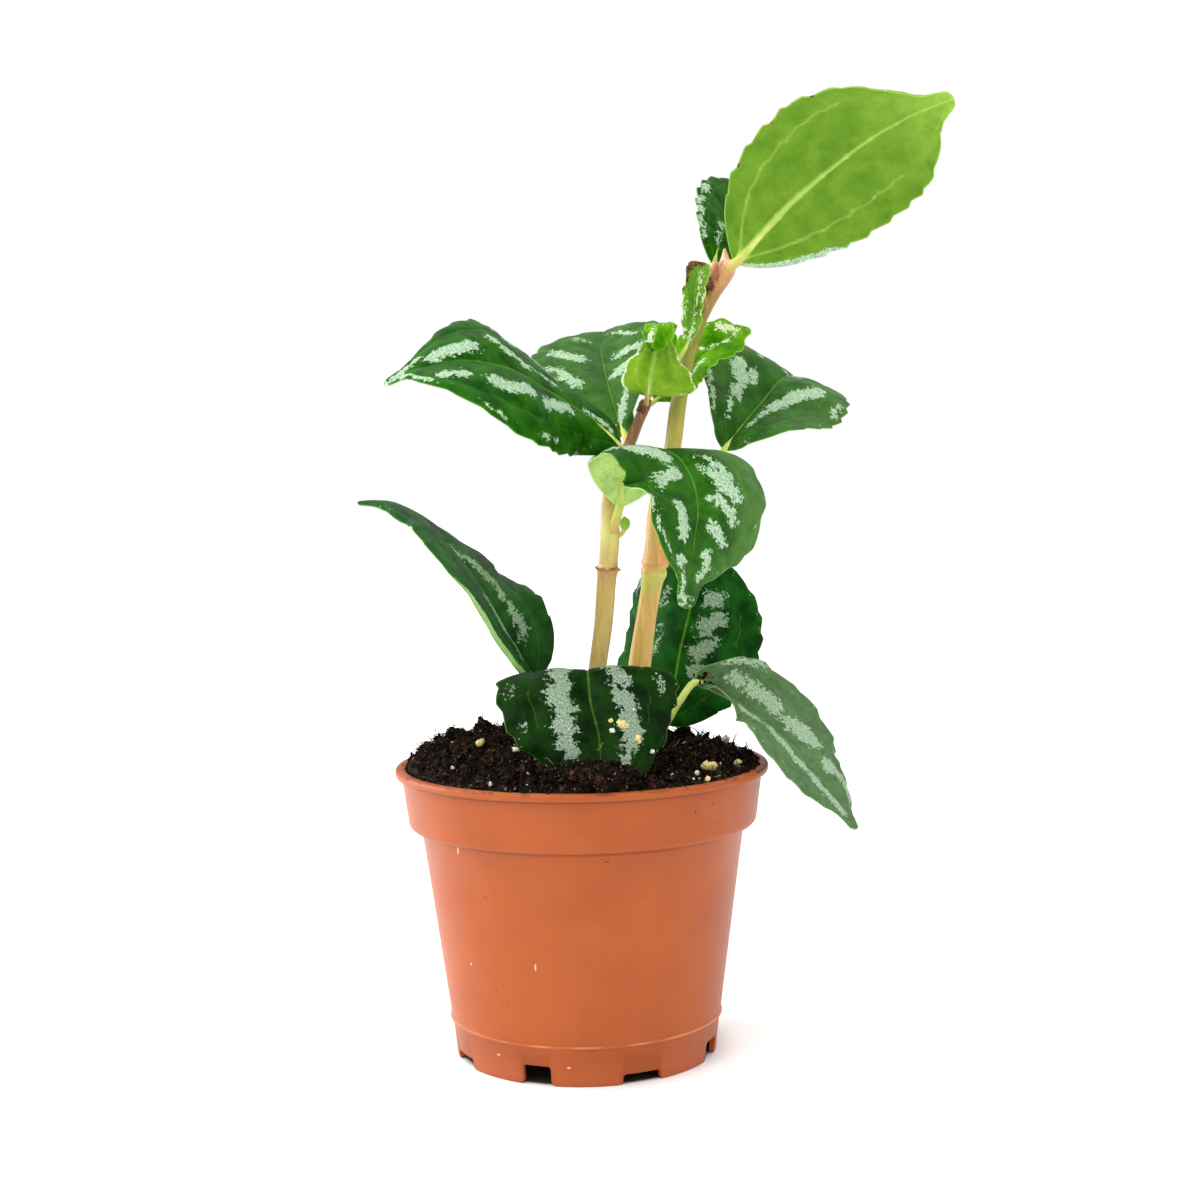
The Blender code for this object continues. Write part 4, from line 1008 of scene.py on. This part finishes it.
def sheath(stem, low, tall, start, end, peak, flare, seed, thick=0.3):
    """A scale on a stem: it rises from low by tall at the peak angle, and leans out by flare at its top."""
    places, radii, _ = stem_path(stem, PATH_STEPS)
    first, second = ring_axes(places)
    angle = np.radians(np.linspace(start, end, 41))[None]
    share = np.linspace(0, 1, 26)[:, None]
    away = np.abs(angle - math.radians(peak)) / math.radians(end - start)
    z = low + tall * share * (0.6 + 0.4 * ramp(away, 0.6, 0)) + 0.25 * ripple(angle * 3, share * 6, 3, seed)
    out = 0.1 + flare * ramp(away, 0.5, 0) * share ** 2 + 0.08 * ripple(angle * 4, share * 5, 2.5, seed + 1)

    def level(table):
        """The stem's own values at each height."""
        return np.stack([np.interp(z, places[:, 2], column) for column in table.T], -1)

    def at(extra):
        """Points at the stem's radius plus the lean, in the cross directions of the stem at that height."""
        radius = np.interp(z, places[:, 2], radii) + out + extra
        return level(places) + radius[..., None] * (np.cos(angle)[..., None] * level(first)
                                                    + np.sin(angle)[..., None] * level(second))

    half = thick / 2 * (1 - 0.6 * share)
    return closed_sheet(at(half), at(-half))


def scale_finish(name, base, edge, spot):
    """Thin dry skin: blotches of one colour over another, with darker fibres."""
    f = Finish(name, Roughness=0.55, IOR=1.4, Specular_IOR_Level=0.25)
    grain = f.streaks(2400, 2400, 500, 5, 0.7)
    colour = f.coats(base, (f.band(f.noise(f.where(), 420, 4, 0.6), 0.35, 0.65), edge),
                     (f.band(grain, 0.5, 0.72, 0, 0.7), spot))
    return f.finish(Base_Color=colour, Normal=f.bump(grain, 0.0002, 0.6))


FRESH_SCALE = scale_finish("node sheath", card(214, 140, 92), card(222, 176, 112), card(170, 88, 52))
DRY_SCALE = scale_finish("dry scale", card(70, 42, 26), card(140, 92, 58), card(36, 22, 14))
SCALES = (("node_sheath", FRESH_SCALE, ("stem_tall", 136.9, 9, 95, 220, 172, 1.6, 3)),
          ("tip_scale_left", DRY_SCALE, ("stem_tall", 210.8, 5.4, -30, 62, 20, .6, 5)),
          ("tip_scale_front", DRY_SCALE, ("stem_tall", 212.6, 2.6, 52, 92, 62, .35, 6)),
          ("short_tip_scale", DRY_SCALE, ("stem_short", 179.5, 3.4, -40, 110, 30, .5, 7)))
for name, finish, form in SCALES:
    add_piece(name, *sheath(*form), finish, STEM_SLOTS[form[0]])

# %% [markdown]
# ## The pot
# The pot is moulded plastic, turned about one axis, so a profile of radius and height says it all: the
# flanged lip, the wide band, the tapered body, the raised line near the foot.

# %% The pot's profile
RIM_RADIUS, POT_HEIGHT, LIP_THICK = 52.4, 81.8, 2.2
BAND_TOP_RADIUS, BAND_LOW_RADIUS, BAND_BOTTOM = 50.6, 49.0, 65.0
BODY_TOP_RADIUS, FOOT_RADIUS, WALL = 45.4, 36.6, 1.3
BEAD_HEIGHT, POT_FLOOR = 11.0, 8.0


def body_radius(height):
    """Outer radius of the tapered body: it grows evenly from the foot to the band."""
    return FOOT_RADIUS + (BODY_TOP_RADIUS - FOOT_RADIUS) * height / BAND_BOTTOM


def corner(middle, radius, start, end, count=6):
    """Points on an arc of a rounded corner, from one angle to another in degrees."""
    angle = np.radians(np.linspace(start, end, count))
    return [(middle[0] + radius * math.cos(a), middle[1] + radius * math.sin(a)) for a in angle]


def pot_profile():
    """From the middle of the floor up the inside, over the lip and down the outside to the foot."""
    floor_top = POT_FLOOR + WALL
    lip_under = POT_HEIGHT - LIP_THICK
    inner = BAND_TOP_RADIUS - WALL
    profile = [(0, floor_top), (body_radius(floor_top) - WALL - 1.2, floor_top),
               (body_radius(floor_top) - WALL, floor_top + 1.2), (BODY_TOP_RADIUS - WALL, BAND_BOTTOM),
               (BAND_LOW_RADIUS - WALL, BAND_BOTTOM + 2.6), (inner, lip_under)]
    profile += corner((inner + 0.9, POT_HEIGHT - 0.8), 0.8, 180, 90)
    profile += corner((RIM_RADIUS - 0.9, POT_HEIGHT - 0.9), 0.9, 90, 0)
    profile += corner((RIM_RADIUS - 0.55, lip_under + 0.5), 0.5, 0, -90)
    profile += corner((BAND_TOP_RADIUS + 0.35, lip_under - 0.35), 0.35, 90, 180, 4)
    profile += corner((BAND_LOW_RADIUS - 2.0, BAND_BOTTOM + 2.0), 2.0, 2, -88, 9)
    profile += [(BODY_TOP_RADIUS + 0.25, BAND_BOTTOM), (BODY_TOP_RADIUS, BAND_BOTTOM - 0.25)]
    profile += [(body_radius(z), z) for z in (50, 35, 20, BEAD_HEIGHT + 0.7)]
    profile += corner((body_radius(BEAD_HEIGHT) + 0.05, BEAD_HEIGHT), 0.42, 75, -75, 7)
    profile += [(body_radius(BEAD_HEIGHT) - 0.25, BEAD_HEIGHT - 0.75), (FOOT_RADIUS + 0.15, 0.35),
                (FOOT_RADIUS - 0.2, 0), (FOOT_RADIUS - WALL, 0),
                (body_radius(POT_FLOOR) - WALL - 0.4, POT_FLOOR), (0, POT_FLOOR)]
    return np.array(profile)


def turn_profile(profile, steps=192):
    """Each profile point goes round the axis; the two ends on the axis become single points."""
    angle = np.linspace(0, 2 * np.pi, steps, endpoint=False)
    rings = about_axis(profile[1:-1, :1], angle, profile[1:-1, 1:])
    ends = about_axis(0, 0, profile[[0, -1], 1])
    return np.concatenate([rings.reshape(-1, 3), ends]), ring_faces(len(rings), steps, flip=True)


print("pot profile:", len(pot_profile()), "points")

# %% [markdown]
# The plastic is a slightly cloudy terracotta. Height alone places the dark lines of painted shade under the
# band and under the lip, the dust on the lip, the painted highlight along the bead and the painted light
# towards the foot. A few single marks of wear stand where the picture shows them.

# %% The pot's finish
# Single marks on the front of the wall: x and z, half width and half height in millimetres, and colour.
LIGHT_MARK, DARK_MARK = card(244, 190, 150), card(96, 40, 26)
WEAR = [(-13.3, 33.5, .25, 1.0, LIGHT_MARK), (-33.6, 63.5, .25, 1.2, LIGHT_MARK),
        (-31, 31.5, .2, .5, LIGHT_MARK), (29.6, 74.5, .2, .7, DARK_MARK), (-44, 79, .3, .4, DARK_MARK),
        (34.5, 76, .25, .4, DARK_MARK), (6, 62.6, .8, .25, DARK_MARK), (-24, 7, .5, .3, LIGHT_MARK),
        (-5, 5.5, .5, .3, LIGHT_MARK)]


def pot_finish():
    """Terracotta-coloured plastic: a slightly cloudy colour, faint fine scratches and a few dark flecks."""
    f = Finish("terracotta plastic", Roughness=0.4, IOR=1.45, Specular_IOR_Level=0.3)
    place, height = f.where(), f.height()
    # Painted shade: dark lines just under the band and under the lip, where their overhangs shade the wall.
    edges = f.maths("MAXIMUM", f.strip(height, 63.9, 64.7, 65.1, 65.8),
                    f.strip(height, 78.9, 79.3, 79.7, 80.1))
    dust = f.times(f.band(f.noise(place, 230, 5, 0.7), 0.5, 0.58, 0, 0.55), f.band(height, 80.9, 81.5))
    # Painted highlight: a pale, broken line along the raised bead.
    bead_highlight = f.times(f.strip(height, 10.9, 11.15, 11.3, 11.6),
                   f.band(f.noise(place, 55, 3), 0.4, 0.6, 0.05, 0.4))
    flecks = f.times(f.band(f.spots(place, 210), 0.05, 0.085, 1, 0),
                     f.band(f.noise(place, 60, 2, 0.5), 0.52, 0.6))
    scratches = f.streaks(60, 60, 900, 6, 0.75)
    marks = []
    for x, z, wide, tall, tint in WEAR:
        spot = f.step("VectorMath", place, tuple(((AXIS + [x, -44, z]) * MM).tolist()), operation="SUBTRACT")
        spot = f.step("VectorMath", f.stretch(spot, 1000 / wide, 20, 1000 / tall), operation="LENGTH")
        marks.append((f.band(spot, 0.7, 1.2, 0.8, 0), tint))
    colour = f.coats(card(158, 74, 28), (f.band(f.noise(place, 38), 0.3, 0.7), card(168, 82, 33)),
                     # Painted shade under the band and the lip, then real dust on the lip.
                     (f.times(edges, 0.6), card(104, 44, 20)), (dust, card(70, 40, 26)),
                     # Painted highlight along the bead, then painted light: the wall grows lighter towards the
                     # foot.
                     (bead_highlight, card(240, 176, 130)), (f.band(height, 0.5, 9, 0.3, 0), card(204, 108, 60)),
                     (flecks, card(120, 52, 34)), *marks,
                     (f.band(scratches, 0.68, 0.74, 0, 0.25), card(232, 170, 140)))
    rough = f.plus(f.times(f.noise(place, 300, 5, 0.7), 0.12), 0.36)
    relief = f.plus(f.noise(place, 1500, 3), scratches)
    return f.finish(Base_Color=colour, Roughness=rough, Normal=f.bump(relief, 0.00006, 0.35))


pot = add_piece("pot_wall", *turn_profile(pot_profile()), pot_finish(), "terracotta_plastic", ("pot",))

# %% [markdown]
# Eight notches in the foot let water out. They are cut with a Boolean, which is then applied, so that only
# the finished wall is left and the cutting blocks are gone.

# %% Notches in the foot
NOTCH_SIZES = ((8.0, 5.6), (11.0, 3.0))
FIRST_NOTCH, NOTCHES = -111.5, 8


def notch_blocks(flare=1.0, round_off=0.6, reach=5.0):
    """Blocks across the foot ring, every second one low and wide, with flared lower corners."""
    points, faces = [], []
    for k in range(NOTCHES):
        width, height = NOTCH_SIZES[k % 2]
        w = width / 2
        half = [(w + flare, -2), (w + flare, 0), (w, flare), (w, height - round_off), (w - round_off, height)]
        outline = np.array([(-w - flare, -2)] + half + [(-y, z) for y, z in half[:0:-1]])
        angle = math.radians(FIRST_NOTCH + 360 / NOTCHES * k)
        turn = np.array([[math.cos(angle), -math.sin(angle)], [math.sin(angle), math.cos(angle)]])
        n = len(outline)
        block = np.concatenate([np.c_[np.full(n, FOOT_RADIUS + side * reach), outline] for side in (-1, 1)])
        block[:, :2] = block[:, :2] @ turn.T
        i = np.arange(n) + 2 * n * k
        points.append(block)
        faces += [i[::-1].tolist(), (i + n).tolist()] + wall_faces(i + n, i).tolist()
    mesh = bpy.data.meshes.new("notches")
    mesh.from_pydata(((np.concatenate(points) + AXIS) * MM).tolist(), [], faces)
    cutter = bpy.data.objects.new("notches", mesh)
    bpy.context.scene.collection.objects.link(cutter)
    return cutter


cutter = notch_blocks()
cut = pot.modifiers.new("notches", "BOOLEAN")
cut.operation, cut.object, cut.solver = "DIFFERENCE", cutter, "EXACT"
bpy.context.view_layer.update()
notched = bpy.data.meshes.new_from_object(pot.evaluated_get(bpy.context.evaluated_depsgraph_get()))
pot.modifiers.clear()
pot.data = notched
bpy.data.objects.remove(cutter)
print("pot with notches:", len(notched.polygons), "faces")

# %% [markdown]
# ## Soil
# The peat is a plug with a rough top. Its top is a fine height field over a disc, and on it lie separate
# crumbs, threads of fibre, white perlite and pale yellow granules. Crumbs repeat a shape of twenty faces,
# each with its own size and turn, which looks like thousands of grains and stays light.

# %% Soil body
SOIL_RIM_DROP, SOIL_HEAP, SOIL_BOTTOM = 2.4, 6.5, 9.8
SOIL_RADIUS, SOIL_INSET = BAND_TOP_RADIUS - WALL - 0.25, WALL + 0.4


def soil_height(x, y):
    """Height of the peat: under the rim in front, heaped at the back left, with slow lumps."""
    lean = ramp(y - 0.6 * x, -45, 45)
    lumps = (1.1 * np.sin(0.31 * x + 0.9) * np.cos(0.27 * y - 0.4) + 0.7 * np.sin(0.62 * x - 0.5 * y)
             + 0.5 * np.cos(0.85 * y + 0.4 * x + 1.2))
    edge = ramp(np.hypot(x, y), 49.4, 44.4)
    return POT_HEIGHT - SOIL_RIM_DROP + (SOIL_HEAP * lean + lumps) * (0.3 + 0.7 * edge)


def rough_height(x, y):
    """The same height, fuller along the wall and under the low leaf's end, with crumbly relief."""
    far = np.hypot(x, y)
    fill = 1.5 * ramp(far, 40, 46)
    mound = 2.6 * bell(x, 3, 11) * bell(y, -45, 4) * ramp(far, 49.2, 47.2)
    return (soil_height(x, y) + fill + mound + 0.75 * ripple(x, y, 5.2, 5) + 0.6 * ripple(x, y, 2.6, 6)
            + 0.28 * ripple(x, y, 1.1, 7))


def on_disc(distance, angle, lift=0.0):
    """Places on the peat at a distance from the axis and an angle about it, raised a little."""
    x, y = distance * np.cos(angle), distance * np.sin(angle)
    return about_axis(distance, angle, rough_height(x, y) + lift)


def peat_finish():
    """Near-black brown with rusty grains and few pale ones, dull all over."""
    f = Finish("peat", Roughness=0.95, IOR=1.3, Specular_IOR_Level=0.2)
    place = f.where()
    grains = f.noise(place, 900, 6, 0.7)
    colour = f.coats(card(4, 2, 2), (f.band(grains, 0.38, 0.62), card(34, 23, 17)),
                     (f.band(f.noise(place, 420), 0.55, 0.66, 0, 0.7), card(88, 54, 36)),
                     (f.band(f.noise(place, 1300, 3), 0.63, 0.7, 0, 0.8), card(150, 136, 118)))
    return f.finish(Base_Color=colour, Normal=f.bump(grains, 0.0006, 0.9))


PEAT = peat_finish()
SOIL_RINGS, SOIL_STEPS = 120, 280
angle = np.linspace(0, 2 * np.pi, SOIL_STEPS, endpoint=False)
rings = np.linspace(0.4, SOIL_RADIUS, SOIL_RINGS)[:, None]
wall = np.array([(BAND_LOW_RADIUS - SOIL_INSET, BAND_BOTTOM + 3.2),
                 (BODY_TOP_RADIUS - SOIL_INSET, BAND_BOTTOM + 0.6),
                 (body_radius(11) - SOIL_INSET, 11), (30, SOIL_BOTTOM)])
grid = np.concatenate([on_disc(rings, angle), about_axis(wall[:, :1], angle, wall[:, 1:])])
ends = np.concatenate([on_disc(np.zeros(1), 0), [[0, 0, SOIL_BOTTOM]]])
faces = ring_faces(len(grid), SOIL_STEPS, flip=True)
add_piece("soil_body", np.concatenate([grid.reshape(-1, 3), ends]), faces, PEAT, "peat_soil", ("soil",))

# %% [markdown]
# The loose grains all start as the same small ball. Its corners are moved, stretched and turned at random for
# each grain. Random numbers come from one generator with a fixed start, so that every run looks the same.

# %% Round grains
def round_form(level):
    """Corners and faces of a ball of triangles: 20 faces at level one, 80 at level two."""
    form = bpy.data.meshes.new("form")
    shape = bmesh.new()
    bmesh.ops.create_icosphere(shape, subdivisions=level, radius=1)
    shape.to_mesh(form)
    shape.free()
    points, faces = np.array([v.co for v in form.vertices]), np.array([p.vertices for p in form.polygons])
    bpy.data.meshes.remove(form)
    return points, faces


def random_turns(count, chance):
    """Turning matrices spread evenly over all directions, from random quaternions."""
    q = unit(chance.normal(size=(count, 4)))
    w, x, y, z = q.T
    return np.stack([1 - 2 * (y * y + z * z), 2 * (x * y - w * z), 2 * (x * z + w * y),
                     2 * (x * y + w * z), 1 - 2 * (x * x + z * z), 2 * (y * z - w * x),
                     2 * (x * z - w * y), 2 * (y * z + w * x), 1 - 2 * (x * x + y * y)], -1).reshape(-1, 3, 3)


def scatter(places, sizes, chance, lumpy, flat, level=1):
    """One lumpy grain at each place: the ball's corners are moved, stretched and turned at random. The
    smaller flat is, the more of them are flakes and chips."""
    form, faces = round_form(level)
    count = len(places)
    corners = form[None] * (1 + lumpy * chance.uniform(-1, 1, (count, len(form), 1)))
    corners = corners * (sizes[:, None] * chance.uniform(flat, 1.3, (count, 3)))[:, None]
    corners = np.einsum("nij,nkj->nki", random_turns(count, chance), corners) + places[:, None]
    numbers = faces[None] + (np.arange(count) * len(form))[:, None, None]
    return corners.reshape(-1, 3), [numbers.reshape(-1, 3)]


def on_soil(count, chance, reach=SOIL_RADIUS - 0.8, lift=0.1):
    """Random places on the peat, evenly over its disc."""
    r = reach * np.sqrt(chance.uniform(0, 1, count))
    return on_disc(r, chance.uniform(0, 2 * np.pi, count), lift)


print("corners of one grain:", len(round_form(1)[0]))

# %% [markdown]
# Most crumbs lie anywhere on the peat, and a few larger clods among them. Others are heaped over the buried
# tip of the low front leaf, and some have fallen on the pot's lip and on the lower right leaf.

# %% Crumbs
def leaf_places(name, places, lift):
    """Points on a leaf's upper side at the given (u, v), raised a little."""
    points, u, v, _, _ = leaf_middle(LEAVES[name], *BIG_GRID)
    rows = np.abs(u[None] - places[:, :1]).argmin(axis=1)
    columns = np.abs(v[None] - places[:, 1:2]).argmin(axis=1)
    return points[rows, columns] + lift * grid_normals(points)[rows, columns]


def heap_over(name, chance, count, from_u=0.86):
    """Places for crumbs over a leaf's buried end: between the peat and just above the blade, and in front."""
    points, u, _, _, _ = leaf_middle(LEAVES[name], *BIG_GRID)
    end = points[u > from_u].reshape(-1, 3)
    pick = end[chance.integers(0, len(end), count)] + chance.normal(size=(count, 3)) * [1.2, 0.6, 0]
    pick[:, 1] -= 1.6 * np.abs(chance.normal(size=count))
    far = np.hypot(pick[:, 0], pick[:, 1])
    pick[:, :2] *= np.minimum(1, (SOIL_RADIUS + 0.5) / far)[:, None]
    ground = rough_height(pick[:, 0], pick[:, 1])
    room = np.clip(pick[:, 2] + 1.1 - ground, 0, None)
    pick[:, 2] = ground + room * chance.uniform(0, 1, count) ** 0.5
    return pick


chance = np.random.default_rng(11)
CRUMBS, CLODS, HEAP, ON_LIP, ON_LEAF = 5200, 240, 2200, 130, 26
SIZES = ((0.3, 0.8, CRUMBS), (0.9, 1.8, CLODS), (0.5, 1.2, HEAP), (0.25, 0.7, ON_LIP), (0.25, 0.6, ON_LEAF))
sizes = np.concatenate([chance.uniform(*row) for row in SIZES])
turn, reach = chance.uniform(0, 2 * np.pi, ON_LIP), chance.uniform(48.9, 50.4, ON_LIP)
on_lip = about_axis(reach, turn, POT_HEIGHT + 0.1)
spots = np.c_[chance.uniform(0.0, 0.07, ON_LEAF), chance.uniform(-0.6, 0.9, ON_LEAF)]
on_leaf = leaf_places("leaf_lower_right", spots, 0.45)
places = np.concatenate([on_soil(CRUMBS, chance), on_soil(CLODS, chance, SOIL_RADIUS - 2.4, 0.3),
                         heap_over("leaf_front_low", chance, HEAP), on_lip, on_leaf])
crumbs = scatter(places, sizes, chance, lumpy=0.55, flat=0.25)
add_piece("soil_crumbs", *crumbs, PEAT, "peat_soil", smooth=False)

# %% [markdown]
# Perlite is white and the granules are pale yellow. The large ones stand where the picture shows them, on the
# peat and on the low front leaf, and the small ones are scattered.

# %% Perlite and granules
def grain_finish(name, dark, light, rough):
    """A pale grain: light colour with slightly darker pits."""
    f = Finish(name, Roughness=rough, IOR=1.4)
    pits = f.noise(f.where(), 1500, 4, 0.7)
    return f.finish(Base_Color=f.over(f.band(pits, 0.3, 0.6), dark, light), Normal=f.bump(pits, 0.0002, 0.8))


PERLITE = grain_finish("perlite", card(190, 184, 170), card(240, 238, 230), 0.8)
GRANULE = grain_finish("yellow granule", card(196, 160, 84), card(240, 222, 160), 0.6)
# (x, y) and radius of the larger grains on the peat, then (u, v) and radius of those on the low front leaf.
WHITE_SOIL = [(-18.5, -1.5, .9), (3.2, -26.7, .9), (-24.6, -36.3, .7), (-21.6, -31.6, .5), (11.7, -29.7, 1),
              (9.8, -30.8, .7), (7.6, -34.9, .6), (-35.1, -23.2, .5), (42.2, 19.7, 1.1), (31.4, -17.1, .6)]
YELLOW_SOIL = [(34.4, -12, 1.3), (36, -11.2, 1.2), (35.2, -12.6, 1), (35.6, -10.4, 1), (43.7, -7.5, 1.2),
               (14.8, -24.8, 1.3), (-29.1, 10.1, 1), (-26.5, 9.1, .6), (24.2, -24.8, .6)]
WHITE_LEAF = [(.72, -.18, .7), (.8, -.87, .5), (.7, .38, .3), (.62, -.45, .3)]
YELLOW_LEAF = [(.69, -.30, 1.15), (.75, -.50, 1.0), (.70, -.38, .6), (.67, -.18, .5), (.765, -.53, .6)]


def grains(soil, leaf, more, sizes, chance):
    """Placed grains and more scattered ones as one set of balls."""
    soil, leaf = np.array(soil, float), np.array(leaf, float)
    on_top = np.c_[soil[:, :2], rough_height(soil[:, 0], soil[:, 1]) + 0.5 * soil[:, 2]]
    on_leaf = leaf_places("leaf_front_low", leaf[:, :2], 0.7)
    places = np.concatenate([on_top, on_leaf, on_soil(more, chance, lift=0.4)])
    radii = np.concatenate([soil[:, 2], leaf[:, 2], chance.uniform(*sizes, more)])
    return scatter(places, radii * 1.05, chance, lumpy=0.3, flat=0.75, level=2)


add_piece("perlite", *grains(WHITE_SOIL, WHITE_LEAF, 30, (0.25, 0.6), chance), PERLITE, "peat_soil")
add_piece("granules", *grains(YELLOW_SOIL, YELLOW_LEAF, 14, (0.4, 1.0), chance), GRANULE, "peat_soil")

# %% [markdown]
# Fibres, twigs and threads of bark are thin tubes with three sides. All of them walk at the same time: in
# each turn of the loop every thread takes one step, in a direction that has changed a little.

# %% Fibres
def fibre_tubes(starts, chance, thin, rise=0.35, segments=7, stride=(0.35, 0.9)):
    """Thin three-sided threads: each walks away from its start with a slowly turning direction."""
    count = len(starts)
    heading = unit(chance.normal(size=(count, 3)) * [1, 1, 0.5] + [0, 0, rise])
    step = chance.uniform(*stride, count)[:, None]
    places = [starts]
    for _ in range(segments):
        heading = unit(heading + 0.35 * chance.normal(size=(count, 3)))
        places.append(places[-1] + heading * step)
    path = np.stack(places, 1)
    first = unit(np.cross(heading, [0.3, 0.2, 0.93]))
    second = np.cross(heading, first)
    taper = np.linspace(1, 0.35, segments + 1)[None, :, None, None]
    thin = chance.uniform(*thin, count)[:, None, None, None] * taper
    turn = np.radians([0, 120, 240])
    ring = (np.cos(turn)[None, None, :, None] * first[:, None, None]
            + np.sin(turn)[None, None, :, None] * second[:, None, None])
    points = path[:, :, None] + ring * thin
    number = np.arange(points[..., 0].size).reshape(count, segments + 1, 3)
    nearby = np.roll(number, -1, axis=2)
    sides = np.stack([number[:, :-1], nearby[:, :-1], nearby[:, 1:], number[:, 1:]], -1)
    ends = [number[:, 0, ::-1].reshape(-1, 3), number[:, -1].reshape(-1, 3)]
    return points.reshape(-1, 3), [sides.reshape(-1, 4)] + ends


def near_edge(count, chance, depth):
    """Places on the peat within depth of the pot's wall."""
    a = chance.uniform(0, 2 * np.pi, count)
    return on_disc(SOIL_RADIUS - chance.uniform(0.8, depth, count), a)


starts = np.concatenate([on_soil(900, chance, lift=0), near_edge(700, chance, 7)])
add_piece("soil_fibres", *fibre_tubes(starts, chance, (0.07, 0.16)), PEAT, "peat_soil")
starts = np.concatenate([near_edge(70, chance, 9), on_soil(60, chance, lift=0)])
twigs = fibre_tubes(starts, chance, (0.18, 0.34), rise=0.8, segments=5, stride=(0.45, 0.95))
add_piece("soil_twigs", *twigs, PEAT, "peat_soil")
BARK = scale_finish("bark thread", card(126, 92, 58), card(176, 140, 92), card(80, 52, 32))
ON_LOW_LEAF = [(.82, .87), (.84, .77), (.83, .62), (.8, .07), (.79, -.35), (.83, -.33), (.6, -.3),
               (.66, -.42)]
starts = np.concatenate([leaf_places("leaf_front_low", np.array(ON_LOW_LEAF), 0.45),
                         on_soil(26, chance, lift=0.5)])
threads = fibre_tubes(starts, chance, (0.12, 0.2), rise=0.0, segments=6, stride=(0.5, 0.9))
add_piece("bark_threads", *threads, BARK, "peat_soil")

# %% [markdown]
# ## Floor and light
# The plant stands on pale paper on a light table. The paper glows a little, except under the pot, where it
# lies in deep shade.

# %% Floor
def floor_finish():
    """Plain pale paper lit a little from below, as on a light table, and in deep shade under the pot."""
    f = Finish("pale floor", Roughness=0.9)
    cloud = f.noise(f.where(), 6, 3, 0.5)
    paper = f.over(cloud, card(246, 246, 246), card(250, 250, 250))
    middle = f.step("VectorMath", f.where(), tuple((AXIS * MM).tolist()), operation="DISTANCE")
    f.shader.inputs["Emission Color"].default_value = (1, 1, 1, 1)
    return f.finish(Base_Color=f.over(f.band(middle, 0.034, 0.036, 1, 0), paper, card(70, 60, 54)),
                    Emission_Strength=f.band(middle, 0.037, 0.045, 0, 0.14))


HALF_FLOOR = 3
floor_mesh = bpy.data.meshes.new("floor")
floor_mesh.from_pydata([(x * HALF_FLOOR, y * HALF_FLOOR, 0) for x, y in ((-1, -1), (1, -1), (1, 1), (-1, 1))],
                       [], [(0, 1, 2, 3)])
floor_mesh.materials.append(floor_finish())
floor = bpy.data.objects.new("floor", floor_mesh)
bpy.context.scene.collection.objects.link(floor)
print("floor:", 2 * HALF_FLOOR, "m across")

# %% [markdown]
# The white world is a light tent that is brighter overhead than at the horizon. A broad key lamp above the
# camera's left gives the leaves their soft gloss, a weak one fills the right, and one far to the left brings
# out the edges of the stems and the pot.

# %% World and lamps
def light_tent(level, top):
    """A world that lights from level strength at the horizon to top strength overhead, and looks white."""
    world = bpy.data.worlds.new("light tent")
    world.use_nodes = True
    tree = world.node_tree
    place = tree.nodes.new("ShaderNodeTexCoord")
    split = tree.nodes.new("ShaderNodeSeparateXYZ")
    tree.links.new(place.outputs["Generated"], split.inputs[0])
    rise = tree.nodes.new("ShaderNodeMapRange")
    rise.interpolation_type = "SMOOTHSTEP"
    for socket, value in zip(rise.inputs, (0, -0.1, 0.9, level, top)):
        socket.default_value = value
    tree.links.new(split.outputs[2], rise.inputs[0])
    seen = tree.nodes.new("ShaderNodeLightPath")
    blend = tree.nodes.new("ShaderNodeMix")
    blend.inputs[3].default_value = 1.0
    tree.links.new(seen.outputs["Is Camera Ray"], blend.inputs[0])
    tree.links.new(rise.outputs[0], blend.inputs[2])
    tree.links.new(blend.outputs[0], tree.nodes["Background"].inputs[1])
    tree.nodes["Background"].inputs[0].default_value = (1, 1, 1, 1)
    return world


bpy.context.scene.world = light_tent(0.2, 1.5)


def add_lamp(name, place, target, size, power):
    """A square lamp that looks at its target: its back axis is the direction away from it."""
    lamp = bpy.data.objects.new(name, bpy.data.lights.new(name, "AREA"))
    lamp.data.size, lamp.data.energy = size, power
    back = unit(np.array(place, float) - np.array(target, float))
    side = unit(np.cross([0, 0, 1], back))
    turn = np.eye(4)
    turn[:3, 0], turn[:3, 1], turn[:3, 2], turn[:3, 3] = side, np.cross(back, side), back, place
    lamp.matrix_world = Matrix(turn.tolist())
    bpy.context.scene.collection.objects.link(lamp)


add_lamp("key", (-0.45, -0.8, 1.15), (0, 0, 0.12), 1.0, 7)
add_lamp("fill", (0.8, -0.9, 0.5), (0, 0, 0.12), 0.8, 2)
add_lamp("side", (-1.0, 0.3, 0.4), (0, 0, 0.1), 0.7, 11)
bpy.context.scene.view_settings.view_transform = "Standard"
